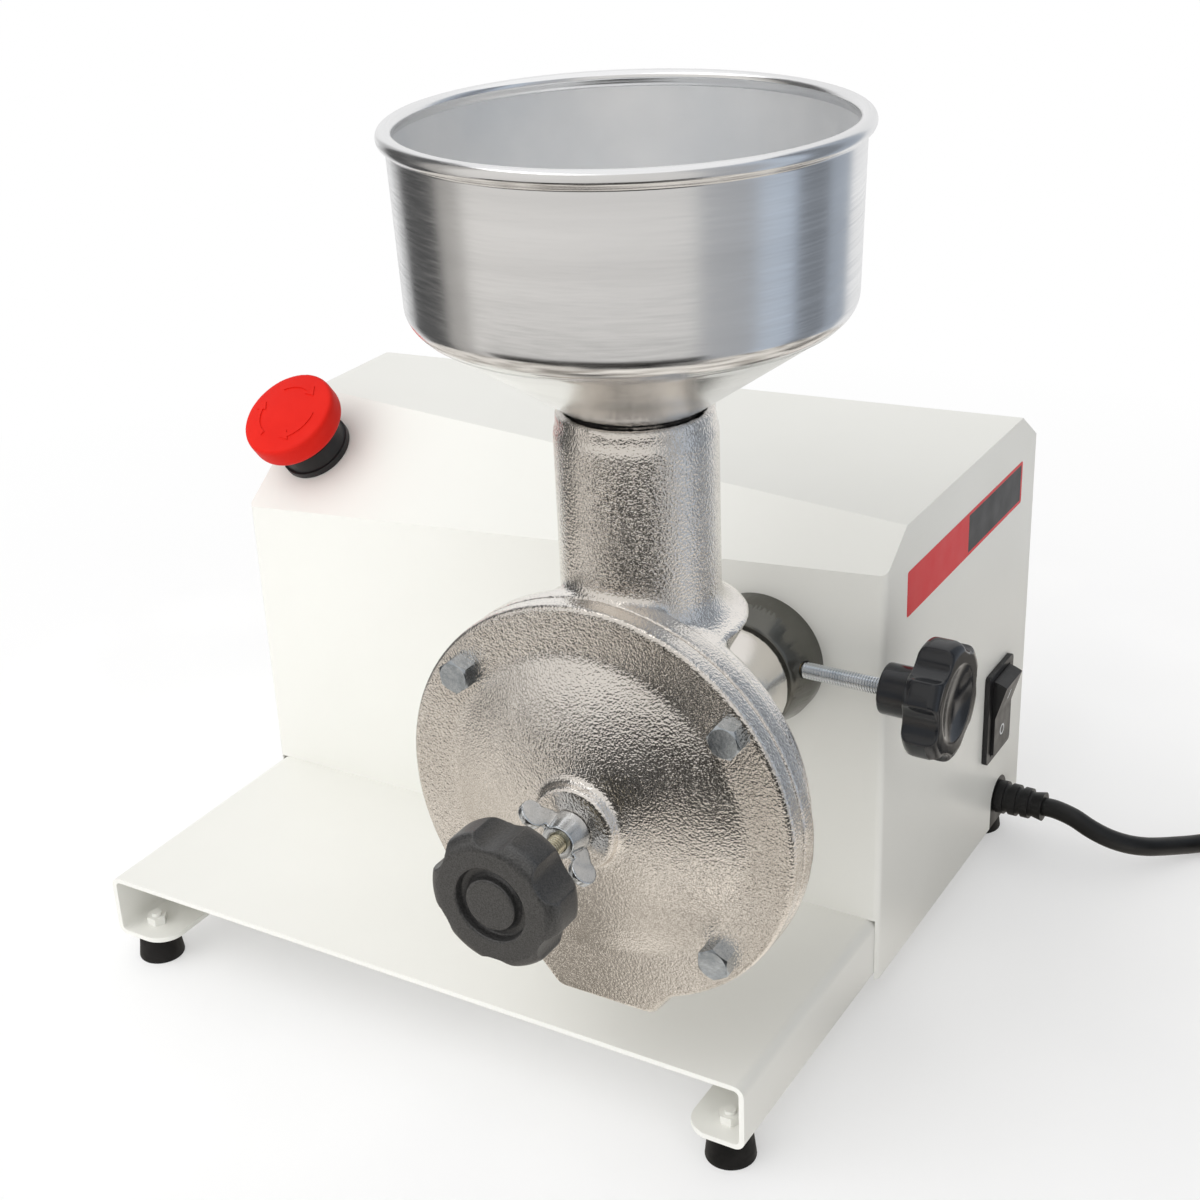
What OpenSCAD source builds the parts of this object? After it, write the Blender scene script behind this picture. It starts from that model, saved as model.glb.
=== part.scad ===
// Electric coffee grinder: a cast grinding head clamped to a sheet-metal motor cabinet.
// Millimetres. +X is the right side, -Y the front, +Z up. The origin is on the table, under the tray's middle.

/* [Tray and feet] */
// Width of the cabinet over its side walls
hood_w = 280; // [270:1:310]
// Depth of the tray from front edge to back edge
tray_d = 258; // [252:1:280]
// Height of the tray's folded sides
tray_h = 26; // [25:1:34]
// Thickness of the tray's sheet
tray_t = 2; // [1.5:0.5:2.5]
// Outside radius of the tray's bends
bend_r = 4; // [3:0.5:5]
// Width of the inward return flanges under the tray
return_w = 24; // [22:1:30]
// Corner radius at the open ends of the return flanges
return_r = 10; // [6:1:14]
// Height of the feet
foot_h = 12.5; // [10:0.5:20]
// Diameter of a foot at the table
foot_d = 18; // [17:1:22]
// Diameter of a foot under the tray
foot_top_d = 15; // [13:1:17]
// Distance of a foot's centre from the tray's edges
foot_inset = 10.5; // [10:0.5:13]

/* [Cabinet] */
// Thickness of the cabinet's sheet
hood_t = 1.5; // [1:0.25:2]
// Height of the cabinet above the tray
hood_h = 152; // [148:1:180]
// Depth of the cabinet
hood_d = 151; // [146:1:162]
// Outside radius of the cabinet's upright bends
fold_r = 2.5; // [2:0.5:4]
// Drop of the sloped facets at the left wall
facet_drop_left = 35.5; // [30:0.5:40]
// Drop of the sloped facets at the right wall
facet_drop_right = 12.2; // [8:0.2:16]
// Slope of the facets from the horizontal
facet_angle = 35.4; // [32:0.2:40]
// Number of air slots in the rear panel
vent_count = 11; // [5:2:15]
// Width of an air slot
vent_w = 4; // [3:0.5:5]
// Height of an air slot
vent_h = 60; // [40:1:70]
// Distance between air slots
vent_pitch = 12; // [9:0.5:14]

/* [Grinding head] */
// Distance of the grinding axis from the right wall
axis_inset = 47; // [46:1:56]
// Height of the grinding axis above the tray
axis_h = 100; // [96:1:110]
// Distance from the cabinet's front to the joint between cover and body
head_reach = 110.5; // [106:0.5:120]
// Diameter of the cover and of the body's flange
cover_d = 137; // [134:1:144]
// Thickness of the cover's flat rim
cover_t = 7; // [6:0.5:9]
// Width of the cover's flat rim
rim_w = 16.5; // [15:0.5:18]
// Height of the dome over the rim
dome_rise = 10.5; // [9:0.5:12]
// Thickness of the dome
dome_t = 5; // [4:0.5:5.5]
// Radius where the rim runs into the dome
dome_fillet = 12; // [8:1:16]
// Diameter of the cover's boss
boss_d = 29; // [26:1:32]
// Radius where the dome runs into the boss
boss_fillet = 2.5; // [1.5:0.5:2.5]
// Height of the boss's face over the rim
boss_rise = 14; // [13.5:0.5:18]
// Distance of the cover's bolts from its edge
bolt_inset = 8.5; // [8:0.5:9.5]
// Drop of the discharge lip below the cover
lip_drop = 4.5; // [4:0.5:10]
// Width of the discharge lip at its lower edge
lip_w = 40; // [36:1:48]
// Width of the discharge opening
chute_w = 36; // [28:1:38]
// Thickness of the body's flange
flange_t = 8; // [7:0.5:10]
// Step from the flange in to the drum
drum_step = 4.5; // [3:0.5:6]
// Depth of the drum
drum_depth = 20; // [16:1:24]
// Depth at which the body's cone ends
cone_end = 54; // [52.5:0.5:58]
// Diameter of the shoulder behind the cone
shoulder_d = 58; // [54:1:64]
// Diameter of the neck
neck_d = 41; // [39:1:46]
// Diameter of the spigot that enters the socket
spigot_d = 34; // [33:0.5:34.5]
// Diameter of the grinding chamber
chamber_d = 100; // [96:1:102]
// Diameter of the fixed burr
burr_d = 88; // [84:1:92]
// Diameter of the rotating burr
rotor_d = 80; // [76:1:82]
// Thickness of each burr
burr_t = 5; // [4:0.5:5.5]
// Gap between the burrs at the finest setting
burr_gap = 0.3; // [0.3:0.05:0.5]
// Number of teeth on a burr
burr_teeth = 24; // [12:2:30]
// Diameter of the auger's bore
auger_bore = 36; // [32:1:36]
// Diameter of the auger's shaft
shaft_d = 14; // [13:0.5:15]
// Width across the flats of the shaft's square tail
tail_af = 9.5; // [8.5:0.1:9.7]
// Length of the tail that enters the spindle
tail_len = 18; // [14:1:20]
// Outside diameter of the feed tube
tube_d = 50; // [48:1:52]
// Height of the feed tube's mouth above the grinding axis
tube_rise = 121.5; // [110:0.5:130]
// Radius where the feed tube runs into the drum
tube_fillet = 9; // [6:0.5:10]

/* [Adjuster and clamp] */
// Diameter of the adjusting screw and of the clamp rod
screw_d = 6; // [5:0.5:7]
// Travel of the adjusting screw
adjust_travel = 2; // [1:0.25:2]
// Distance from the boss's face to the front knob's hub
knob_stand = 20.5; // [16:0.5:24]
// Diameter of the front knob
knob_d = 44; // [40:1:50]
// Thickness of the front knob's head
knob_t = 16; // [14:1:20]
// Length of the front knob's hub
hub_len = 9; // [7:1:12]
// Diameter of the front knob's hub
hub_d = 15; // [13:0.5:18]
// Number of finger scallops on a knob
scallops = 6; // [5:1:8]
// Span of the wing nut
wing_span = 32; // [29:1:38]
// Diameter of the clamp knob
clamp_d = 43; // [40:1:50]
// Thickness of the clamp knob's head
clamp_t = 13; // [12:0.5:18]
// Length of the clamp knob's hub
clamp_hub_len = 13; // [10:1:16]
// Diameter of the clamp knob's hub
clamp_hub_d = 18; // [15:0.5:20]
// Free length of the clamp rod between the socket and the knob's hub
clamp_free = 28; // [22:1:36]
// Height of the clamp rod over the grinding axis
clamp_up = 4; // [0:0.5:5]

/* [Socket and spindle] */
// Diameter of the socket at the cabinet
collar_d = 48; // [47:1:56]
// Diameter of the socket's nose
nose_d = 42; // [40:1:44]
// Length of the socket in front of the cabinet
collar_reach = 18; // [17:0.5:22]
// Outside diameter of the spindle bearings
bearing_d = 35; // [34:0.5:36]
// Bore of the spindle bearings
bearing_bore = 17; // [16:0.5:18]
// Width of a spindle bearing
bearing_w = 10; // [9:0.5:11]
// Thickness of the upright plate that carries the socket
bracket_t = 5; // [4:0.5:6]
// Width of that plate
bracket_w = 84; // [76:1:86]
// Depth of that plate's foot
bracket_d = 38; // [34:1:44]

/* [Motor and belt] */
// Outside diameter of the driven pulley
driven_d = 80; // [70:1:84]
// Outside diameter of the motor pulley
drive_d = 34; // [32:1:40]
// Width of the belt
belt_w = 12; // [10:1:14]
// Thickness of the belt
belt_t = 4; // [3:0.5:5]
// Distance of the motor's axis to the left of the grinding axis
motor_dx = 118; // [112:1:124]
// Distance of the motor's axis below the grinding axis
motor_dz = 43.5; // [40:0.5:46]
// Diameter of the motor
motor_d = 88; // [80:1:92]
// Length of each motor end bell
bell_len = 12; // [11:0.5:13]
// Diameter of the motor's shaft
motor_shaft_d = 12; // [11:0.5:13]
// Diameter of the run capacitor
capacitor_d = 35; // [30:1:38]
// Length of the run capacitor
capacitor_len = 56; // [46:1:58]

/* [Hopper] */
// Diameter of the hopper over its rolled rim
hopper_d = 140; // [130:1:150]
// Height of the hopper's rim above the feed tube
hopper_h = 86; // [78:1:96]
// Thickness of the hopper's sheet
hopper_t = 1.2; // [0.8:0.1:1.6]
// Diameter of the rolled rim's bead
bead_d = 5; // [4:0.5:6]
// Taper of the hopper's wall, on the radius
hopper_taper = 1.5; // [0:0.5:3]
// Slope of the hopper's cone from the horizontal
hopper_cone = 34.5; // [30:0.5:38]
// Radius between the hopper's wall and cone
hopper_round = 8; // [6:0.5:12]
// Diameter of the hopper's neck
throat_d = 42; // [40:0.5:43]
// Length of the hopper's neck inside the tube
throat_len = 22; // [16:1:28]

/* [Stop button] */
// Distance of the stop button from the left wall
stop_inset = 18.5; // [18:0.5:30]
// Distance of the stop button behind the cabinet's front
stop_back = 25; // [22:0.5:28]
// Diameter of the mushroom head
stop_d = 40; // [36:1:44]
// Height of the mushroom head
stop_h = 13; // [11:0.5:16]
// Travel of the stop button
stop_travel = 4; // [3:0.25:5]
// Diameter of the hole that the stop button fits
stop_hole = 22; // [20:0.5:23]
// Diameter of the stop button's plunger
stop_stem = 14; // [12:0.5:15]

/* [Rocker switch] */
// Distance of the switch's middle from the cabinet's back
switch_back = 33; // [32:1:40]
// Height of the switch's middle above the tray
switch_up = 32; // [31:1:44]
// Width of the switch's bezel
bezel_w = 27; // [25:0.5:29]
// Height of the switch's bezel
bezel_h = 40; // [39:0.5:43]
// Thickness of the switch's bezel
bezel_t = 2.2; // [1.6:0.2:3]
// Width of the rocker
rocker_w = 18; // [16:0.5:19]
// Swing of the rocker
rocker_swing = 16; // [12:1:20]

/* [Supply cord] */
// Diameter of the cord
cord_d = 7.8; // [7:0.1:8]
// Distance of the cord's exit from the cabinet's back
cord_back = 23; // [22:1:26]
// Height of the cord's exit above the tray's lower edge
cord_up = 11.5; // [11:0.5:13]
// Length of the strain relief outside the cabinet
relief_len = 20; // [19:1:22]
// Turns of the coil, in and out again
coil_turns = 5; // [4:1:6]
// Radius of the coil's innermost turn
coil_in = 33; // [31:0.5:36]
// Distance between the coil's turns
coil_pitch = 8.4; // [8.4:0.1:9]

/* [Clearances] */
// Radial clearance of a running fit
fit = 0.05; // [0.03:0.01:0.08]
// Clearance between pieces that are set together
seat = 0.1; // [0.05:0.05:0.15]
// Clearance between pieces that move past each other
gap = 0.3; // [0.3:0.05:0.4]

/* [Hidden] */
$fn = 64;

function unit(v) = v / norm(v);

// Over-cut of a tool past the face that it opens, and the size of a cutting block
over = 1;
block = 2 * (hood_w + tray_d + hood_h);

// Main planes
tray_w = hood_w - 2 * (hood_t + seat);
deck_z = foot_h + tray_h;
top_z = deck_z + hood_h;
back_y = tray_d / 2;
front_y = back_y - hood_d;
mid_y = (front_y + back_y) / 2;
wall_x = hood_w / 2;
inner_x = wall_x - hood_t;

// Sloped facets: the front one, and its mirror at the back
facet_fall = (facet_drop_left - facet_drop_right) / hood_w;
facet_n = unit([-facet_fall, -tan(facet_angle), 1]);
facet_p = [-wall_x, front_y, top_z - facet_drop_left];
function facet_z(x, y) = facet_p[2] + facet_fall * (x - facet_p[0]) + tan(facet_angle) * (y - facet_p[1]);

// Small screws of the sheet metal
small_r = 2;
small_head_r = 3.8;
small_head_h = 2.6;
lip_depth = 13;
lip_end = 95;
tab_w = 16;
tab_low = 18;
tab_high = 92;
tab_h = 24;
vent_low = 20;

// Grinding head: depths are measured back from the joint between cover and body
axis_x = wall_x - axis_inset;
axis_z = deck_z + axis_h;
part_y = front_y - head_reach;
screw_r = screw_d / 2;
rotor_front = 3.3;
fixed_front = rotor_front - burr_t - burr_gap;
chamber_depth = burr_t - fixed_front;
feed_wall = 1.6;
tube_bore = auger_bore;
tube_back = chamber_depth + feed_wall + tube_bore / 2;
tube_y = part_y + tube_back;
tube_z = axis_z + tube_rise;
auger_end = tube_back + tube_bore / 2 + 1.5;
dome_d = cover_d - 2 * rim_w;
drum_d = cover_d - 2 * drum_step;
bolt_circle = cover_d - 2 * bolt_inset;
dome_r = (pow(dome_d / 2, 2) + pow(dome_rise, 2)) / (2 * dome_rise);
dome_c = cover_t + dome_rise - dome_r;
boss_u = cover_t + boss_rise;
bolt_angles = [38, 142, 225, 315];
hex_af = 1.67 * screw_d;
hex_h = 4.2;
edge_r = 1.5;
lip_r = 4;
lip_flare = 7;
flare_base = 0.85 * drum_d / 2;
bolt_len = cover_t + flange_t - 1;
bush_d = 20;
bush_len = 30;
bush_from = auger_end + 3;
shaft_r = shaft_d / 2;
nose_u = 8;
pad_t = 3;
pad_r = 5;
pocket_r = 8.5;
pocket_u = nose_u + pad_t + adjust_travel + 0.5;
pin_r = 2;
pin_len = 26;
pin_u = rotor_front + pin_r;
burr_screw_r = 2;
burr_screw_circle = 31;
chute_top = 40;

// Socket and spindle: distances are measured forward from the cabinet's front
stack = hood_t + seat + bracket_t;
spigot_r = spigot_d / 2;
socket_r = spigot_r + fit;
shell_r = bearing_d / 2 + 4.5;
rib_r = 13;
socket_depth = 8;
rib_t = 4;
bearing_gap = 12;
seat_w = -socket_depth - rib_t;
shell_w = seat_w - 2 * bearing_w - bearing_gap - 2;
nut_r = shell_r + 6;
nut_t = 8;
spindle_r = bearing_bore / 2;
spindle_front = -socket_depth - 0.5;
pulley_w = shell_w - 6;
pulley_t = belt_w + 6;
spindle_end = pulley_w - pulley_t;
tail_end = spindle_front - tail_len;
clamp_w = 11;
collar_band = 6;
gusset_h = 70;
bracket_bolt_in = 12;

// Belt drive and motor
motor_x = axis_x - motor_dx;
motor_z = axis_z - motor_dz;
motor_r = motor_d / 2;
rim_h = 3;
driven_r = driven_d / 2 - rim_h;
drive_r = drive_d / 2 - rim_h;
belt_d = norm([motor_dx, motor_dz]);
belt_mid = pulley_w - pulley_t / 2;
bell_w = spindle_end - 6;
can_w = bell_w - bell_len;
motor_room = 7.5;
can_len = hood_d - hood_t - motor_room + bell_w - 2 * bell_len;
rear_w = can_w - can_len;
motor_end = rear_w - bell_len;
motor_bearing_r = 15;
motor_bearing_w = 9;
saddle_w = motor_d + 24;
saddle_t = 4;
saddle_h = motor_z - deck_z - motor_r * 0.35;
band_t = 1.5;
frame_r = 3;
frame_af = 10;
frame_h = 4;

// Electrical pieces on the tray
cap_inset = 70;
cap_room = 12;
cap_x = wall_x - cap_inset;
cap_y = back_y - capacitor_len - cap_room;
clip_t = 1.5;
clip_w = 16;
clip_foot = 14;
clip_mouth = 5;
cap_z = deck_z + clip_t + seat + capacitor_d / 2;
block_inset = 34;
block_step = 21;
block_x = wall_x - block_inset;
block_y = cap_y - block_step;

// Knobs
knob_u = boss_u + knob_stand;
clamp_x = spigot_r + gap;
clamp_hub = collar_d / 2 + clamp_free;
tip_len = 4;

// Hopper
bead_r = bead_d / 2;
hopper_top_r = hopper_d / 2 - bead_r;
hopper_low_r = hopper_top_r - hopper_taper;
throat_r = throat_d / 2;
rim_z = tube_z + hopper_h;
throat_z = tube_z + 0.6;
round_r = hopper_low_r - hopper_round;
round_z = throat_z + (round_r + hopper_round * sin(hopper_cone) - throat_r) * tan(hopper_cone)
    + hopper_round * cos(hopper_cone);

// Stop button: heights are measured out from the facet
stop_x = stop_inset - wall_x;
stop_y = front_y + stop_back;
stop_p = [stop_x, stop_y, facet_z(stop_x, stop_y)];
barrel_r = stop_hole / 2 - seat;
stem_r = stop_stem / 2;
stop_ring_h = 9;
stop_under = stop_ring_h + stop_travel + 0.6;
barrel_len = 14;
contacts_w = 30;
contacts_len = 32;

// Rocker switch
switch_y = back_y - switch_back;
switch_z = deck_z + switch_up;
rocker_r = bezel_h / 2 - 2.8;
rocker_axis = wall_x - 1;
rocker_face = 3.4;
housing_depth = rocker_r + 4;
rocker_pin_r = 1.6;

// Supply cord: the route's own points, from the strain relief to the coil
cord_r = cord_d / 2;
cord_y = back_y - cord_back;
cord_z = foot_h + cord_up;
relief_r = 7;
slot_r = 9;
relief_end = wall_x + relief_len;
heading = 45;
run = [cos(heading), sin(heading), 0];
tie_t = 0.8;
tie_w = 10;
tie_room = 0.6;
coil_low = cord_r + tie_t + seat;
coil_layer = cord_d + 0.5;
coil_mid = [297, 134];
coil_tail = 52;
loop_rings = 24;
coil_rings = coil_turns * loop_rings;
function coil_r(a) = coil_in + coil_pitch * abs(a - 180 * coil_turns) / 360;
function climb(a) = let (s = min(1, max(0, (a - 180 * coil_turns + 90) / 180))) s * s * (3 - 2 * s);
function coil_point(a) = [coil_mid[0] + coil_r(a) * cos(heading + 90 - a),
    coil_mid[1] + coil_r(a) * sin(heading + 90 - a), coil_low + coil_layer * climb(a)];
coil_turn_points = [for (i = [0:coil_rings]) coil_point(360 * i / loop_rings)];
coil_from = coil_turn_points[0] - cord_d * run;
coil_to = coil_turn_points[coil_rings] + coil_tail * run;
coil_points = concat([coil_from], coil_turn_points, [coil_to - coil_tail / 2 * run, coil_to]);
coil_gap = min([for (i = [0:coil_rings]) for (j = [i + loop_rings / 2:1:coil_rings])
    norm(coil_turn_points[i] - coil_turn_points[j])]) - cord_d;
cord_points = [[relief_end, cord_y, cord_z], [relief_end + 5, cord_y, cord_z], [172.8, 105.4, 22.6],
    [180.1, 105.2, 19.4], [187.4, 106.7, 16.1], [194.2, 110, 13.3], [200.2, 115, 10.9], [205.2, 121.2, 8.8],
    [210, 127.6, 7], [214.8, 133.7, 5.5], [219.8, 139.6, 4.5], [225.3, 145.2, 4], [233, 151.5, 4],
    [241, 157, 4.3], coil_from - cord_d * run, coil_from];
plug_h = 26;
plug_w = 36;
plug_len = 24;
plug_neck = 14;
plug_pin_r = 2;
plug_pin_len = 19;
plug_pin_gap = 9.5;
plug_earth = 3;

echo(coil_gap = coil_gap);

// Frames of reference

// On the grinding axis, z forward from the joint between cover and body
module on_head() {
    translate([axis_x, part_y, axis_z]) rotate([90, 0, 0]) children();
}

// On the grinding axis, z forward from the cabinet's front
module on_spindle() {
    translate([axis_x, front_y, axis_z]) rotate([90, 0, 0]) children();
}

// On the motor's axis, z forward from the cabinet's front
module on_motor() {
    translate([motor_x, front_y, motor_z]) rotate([90, 0, 0]) children();
}

// On the clamp rod's axis, z to the right from the grinding axis
module on_clamp() {
    translate([axis_x, front_y - clamp_w, axis_z + clamp_up]) rotate([0, 90, 0]) children();
}

// On the stop button's axis, z out of the facet
module on_facet() {
    translate(stop_p) rotate([0, acos(facet_n[2]), atan2(facet_n[1], facet_n[0])]) children();
}

// On the switch's middle, z out of the right wall, y to the back
module on_side() {
    translate([wall_x, switch_y, switch_z]) rotate([90, 0, 90]) children();
}

// Shared shapes

module ring(outer, inner, h) {
    difference() {
        cylinder(r = outer, h = h);
        translate([0, 0, -over]) cylinder(r = inner, h = h + 2 * over);
    }
}

// Points on an arc of a profile
function arc(c, r, from, to, n) = [for (i = [0:n]) let (a = from + (to - from) * i / n) c + r * [cos(a),
    sin(a)]];

// Hexagon head with its corners turned off
module hex_bolt(af, head_h, r, len) {
    intersection() {
        cylinder(d = af / cos(30), h = head_h, $fn = 6);
        cylinder(r1 = af * 0.475 + head_h * 1.73, r2 = af * 0.475, h = head_h);
    }
    translate([0, 0, -len]) cylinder(r = r, h = len + head_h / 2);
}

module pan_screw(len) {
    cylinder(r1 = small_head_r, r2 = small_head_r - 1, h = small_head_h);
    translate([0, 0, -len]) cylinder(r = small_r, h = len + small_head_h / 2);
}

module round_rect(w, h, r) {
    square([w - 2 * r, h], center = true);
    square([w, h - 2 * r], center = true);
    for (x = [-1, 1]) for (y = [-1, 1]) translate([x * (w / 2 - r), y * (h / 2 - r)]) circle(r = r);
}

module at_corners(x, y) {
    for (i = [-1, 1]) for (j = [-1, 1]) translate([i * x, j * y, 0]) children();
}

// Everything on the outer side of a plane
module beyond(p, n) {
    translate(p) rotate([0, acos(n[2]), atan2(n[1], n[0])])
        translate([-block / 2, -block / 2, 0]) cube(block);
}

// One closed tube swept along points, each ring square to the path
function ring_at(p, i, r, n) = let (
    t = unit(p[min(i + 1, len(p) - 1)] - p[max(i - 1, 0)]),
    s = unit(cross([0, 0, 1], t)),
    u = cross(t, s)) [for (k = [0:n - 1]) p[i] + r * (cos(360 * k / n) * s + sin(360 * k / n) * u)];

module sweep(p, r, n) {
    last = (len(p) - 1) * n;
    sides = [for (i = [0:len(p) - 2]) for (k = [0:n - 1]) let (a = i * n + k, b = i * n + (k + 1) % n)
        each [[a, a + n, b], [b, a + n, b + n]]];
    caps = [for (k = [1:n - 2]) each [[0, k, k + 1], [last, last + k + 1, last + k]]];
    polyhedron([for (i = [0:len(p) - 1]) each ring_at(p, i, r, n)], concat(sides, caps));
}

// Tray and feet

module tray_section() {
    difference() {
        translate([0, foot_h + tray_h / 2]) round_rect(tray_w, tray_h, bend_r);
        translate([0, foot_h + tray_h / 2])
            round_rect(tray_w - 2 * tray_t, tray_h - 2 * tray_t, bend_r - tray_t);
        translate([0, foot_h]) square([tray_w - 2 * return_w, 2 * tray_t + over], center = true);
    }
}

module foot_places() {
    at_corners(tray_w / 2 - foot_inset, tray_d / 2 - foot_inset) children();
}

module return_corner(sx, sy) {
    translate([sx * (tray_w / 2 - return_w), sy * tray_d / 2, foot_h - over]) mirror([sx < 0 ? 1 : 0, 0, 0])
        mirror([0, sy < 0 ? 1 : 0, 0]) difference() {
            translate([-over, -return_r, 0]) cube([return_r + over, return_r + over, tray_t + 2 * over]);
            translate([return_r, -return_r, -over]) cylinder(r = return_r, h = tray_t + 4 * over);
        }
}

module base_tray() {
    color("ivory") difference() {
        translate([0, back_y, 0]) rotate([90, 0, 0]) linear_extrude(tray_d) tray_section();
        for (sx = [-1, 1]) for (sy = [-1, 1]) return_corner(sx, sy);
        foot_places() translate([0, 0, foot_h - over]) cylinder(r = small_r + fit, h = tray_t + 2 * over);
        bracket_places() translate([0, 0, deck_z - tray_t - over])
            cylinder(r = frame_r + fit, h = tray_t + 2 * over);
        saddle_places() translate([0, 0, deck_z - tray_t - over])
            cylinder(r = frame_r + fit, h = tray_t + 2 * over);
        hood_screw_places() translate([0, 0, deck_z - tray_t - over])
            cylinder(r = small_r + fit, h = tray_t + 2 * over);
        translate([tray_w / 2 - tray_t - over, cord_y, cord_z]) rotate([0, 90, 0])
            cylinder(r = relief_r - 1.5 + seat, h = tray_t + 2 * over);
    }
}

module rubber_feet() {
    color("#202020") foot_places() difference() {
        cylinder(d1 = foot_d, d2 = foot_top_d, h = foot_h);
        translate([0, 0, -over]) cylinder(r = small_r + fit, h = foot_h + 2 * over);
        translate([0, 0, -over]) cylinder(r = small_head_r + 0.6, h = foot_h / 2 + over);
    }
}

module foot_screws() {
    color("silver") foot_places() translate([0, 0, foot_h / 2]) rotate([180, 0, 0])
        pan_screw(foot_h / 2 + tray_t + 4.5);
}

module foot_nuts() {
    color("silver") foot_places() translate([0, 0, foot_h + tray_t]) difference() {
        cylinder(d = 7 / cos(30), h = 3.2, $fn = 6);
        translate([0, 0, -over]) cylinder(r = small_r + fit, h = 3.2 + 2 * over);
    }
}

// Cabinet

module facet_cuts(inset) {
    beyond(facet_p - inset * facet_n, facet_n);
    translate([0, 2 * mid_y, 0]) mirror([0, 1, 0]) beyond(facet_p - inset * facet_n, facet_n);
}

// Plan of the folded sheet: straight at the back, with bends at the two front corners
module hood_plan(x, front, back, r) {
    translate([-x, front + r]) square([2 * x, back - front - r]);
    translate([r - x, front]) square([2 * (x - r), 2 * r]);
    for (s = [-1, 1]) translate([s * (x - r), front + r]) circle(r = r);
}

module hood_outside() {
    difference() {
        translate([0, 0, deck_z]) linear_extrude(hood_h) hood_plan(wall_x, front_y, back_y, fold_r);
        facet_cuts(0);
    }
}

module hood_inside() {
    difference() {
        translate([0, 0, deck_z - over]) linear_extrude(hood_h + over - hood_t)
            hood_plan(inner_x, front_y + hood_t, back_y + over, fold_r - hood_t);
        facet_cuts(hood_t);
    }
}

module hood_screw_places() {
    for (x = [-wall_x + 20, -wall_x + lip_end - 15])
        translate([x, front_y + hood_t + lip_depth / 2, 0]) children();
}

module rear_screw_places() {
    for (x = [-1, 1]) for (z = [tab_low, tab_high])
        translate([x * (inner_x - tab_w / 2), back_y, deck_z + z]) rotate([-90, 0, 0]) children();
}

// Round-topped slot in the right wall, open at the bottom, for the cord
module cord_slot(r, from, t) {
    translate([0, cord_y, cord_z]) rotate([0, 90, 0]) cylinder(r = r, h = t);
    translate([0, cord_y - r, from]) cube([t, 2 * r, cord_z - from]);
}

module cabinet_hood() {
    color("ivory") difference() {
        union() {
            difference() {
                hood_outside();
                hood_inside();
            }
            translate([0, 0, foot_h]) linear_extrude(tray_h + over) difference() {
                hood_plan(wall_x, front_y, back_y, fold_r);
                translate([-inner_x, front_y - over]) square([2 * inner_x, hood_d + 2 * over]);
            }
            translate([-wall_x + hood_t / 2, front_y + hood_t / 2, deck_z])
                cube([lip_end, lip_depth + hood_t / 2, hood_t]);
            for (x = [-1, 1]) for (z = [tab_low, tab_high])
                translate([x * (inner_x - tab_w / 2 + hood_t / 4), back_y - 1.5 * hood_t - seat, deck_z + z])
                    cube([tab_w + hood_t / 2, hood_t, tab_h], center = true);
        }
        on_spindle() translate([0, 0, -2 * hood_t]) cylinder(r = shell_r + seat, h = 4 * hood_t);
        on_facet() translate([0, 0, -4 * hood_t]) cylinder(r = stop_hole / 2, h = 8 * hood_t);
        on_side() translate([0, 0, -hood_t]) cube([rocker_w + 5 + 2 * seat, 2 * rocker_r + 3 + 2 * seat,
            4 * hood_t], center = true);
        translate([inner_x - over, 0, 0]) cord_slot(slot_r + seat, foot_h - over, hood_t + 2 * over);
        hood_screw_places() translate([0, 0, deck_z - over]) cylinder(r = small_r + fit,
            h = hood_t + 2 * over);
        rear_screw_places() translate([0, 0, -4 * hood_t]) cylinder(r = small_r + fit, h = 5 * hood_t);
    }
}

module hood_screws() {
    color("silver") hood_screw_places() translate([0, 0, deck_z - tray_t]) rotate([180, 0, 0])
        pan_screw(tray_t + hood_t + 3);
}

module rear_panel() {
    color("ivory") difference() {
        translate([-inner_x + seat, back_y - hood_t, deck_z])
            cube([2 * (inner_x - seat), hood_t, hood_h]);
        facet_cuts(hood_t + seat);
        for (i = [0:vent_count - 1]) translate([(i - (vent_count - 1) / 2) * vent_pitch,
            back_y + over, deck_z + vent_low + vent_h / 2]) rotate([90, 0, 0])
                linear_extrude(hood_t + 2 * over) {
                square([vent_w, vent_h - vent_w], center = true);
                for (s = [-1, 1]) translate([0, s * (vent_h - vent_w) / 2]) circle(d = vent_w);
            }
        rear_screw_places() translate([0, 0, -2 * hood_t]) cylinder(r = small_r + fit, h = 3 * hood_t);
    }
}

module rear_screws() {
    color("silver") rear_screw_places() pan_screw(2 * hood_t + seat + 5);
}

// Socket, spindle and its carrier

module bracket_places() {
    translate([axis_x, front_y + stack + bracket_d / 2 + 1, 0])
        at_corners(bracket_w / 2 - bracket_bolt_in, bracket_d / 2 - 8) children();
}

module spindle_bracket() {
    color("dimgray") difference() {
        union() {
            translate([axis_x - bracket_w / 2, front_y + hood_t + seat, deck_z])
                cube([bracket_w, bracket_t, axis_h + shell_r + 2]);
            translate([axis_x - bracket_w / 2, front_y + hood_t + seat, deck_z])
                cube([bracket_w, bracket_t + bracket_d, bracket_t]);
            for (x = [-1, 1]) translate([axis_x + x * (bracket_w - bracket_t) / 2 + bracket_t / 2,
                front_y + hood_t + seat + bracket_t / 2, deck_z + bracket_t / 2]) rotate([0, -90, 0])
                    linear_extrude(bracket_t) polygon([[0, 0], [gusset_h, 0], [0, bracket_d]]);
        }
        on_spindle() translate([0, 0, -stack - over]) cylinder(r = shell_r + seat, h = stack + 2 * over);
        bracket_places() translate([0, 0, deck_z - over]) cylinder(r = frame_r + fit,
            h = bracket_t + 2 * over);
    }
}

module frame_bolt(grip) {
    hex_bolt(frame_af, frame_h, frame_r, grip + tray_t + frame_h);
    translate([0, 0, -grip - tray_t - frame_h]) cylinder(d = frame_af / cos(30), h = frame_h, $fn = 6);
}

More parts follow.
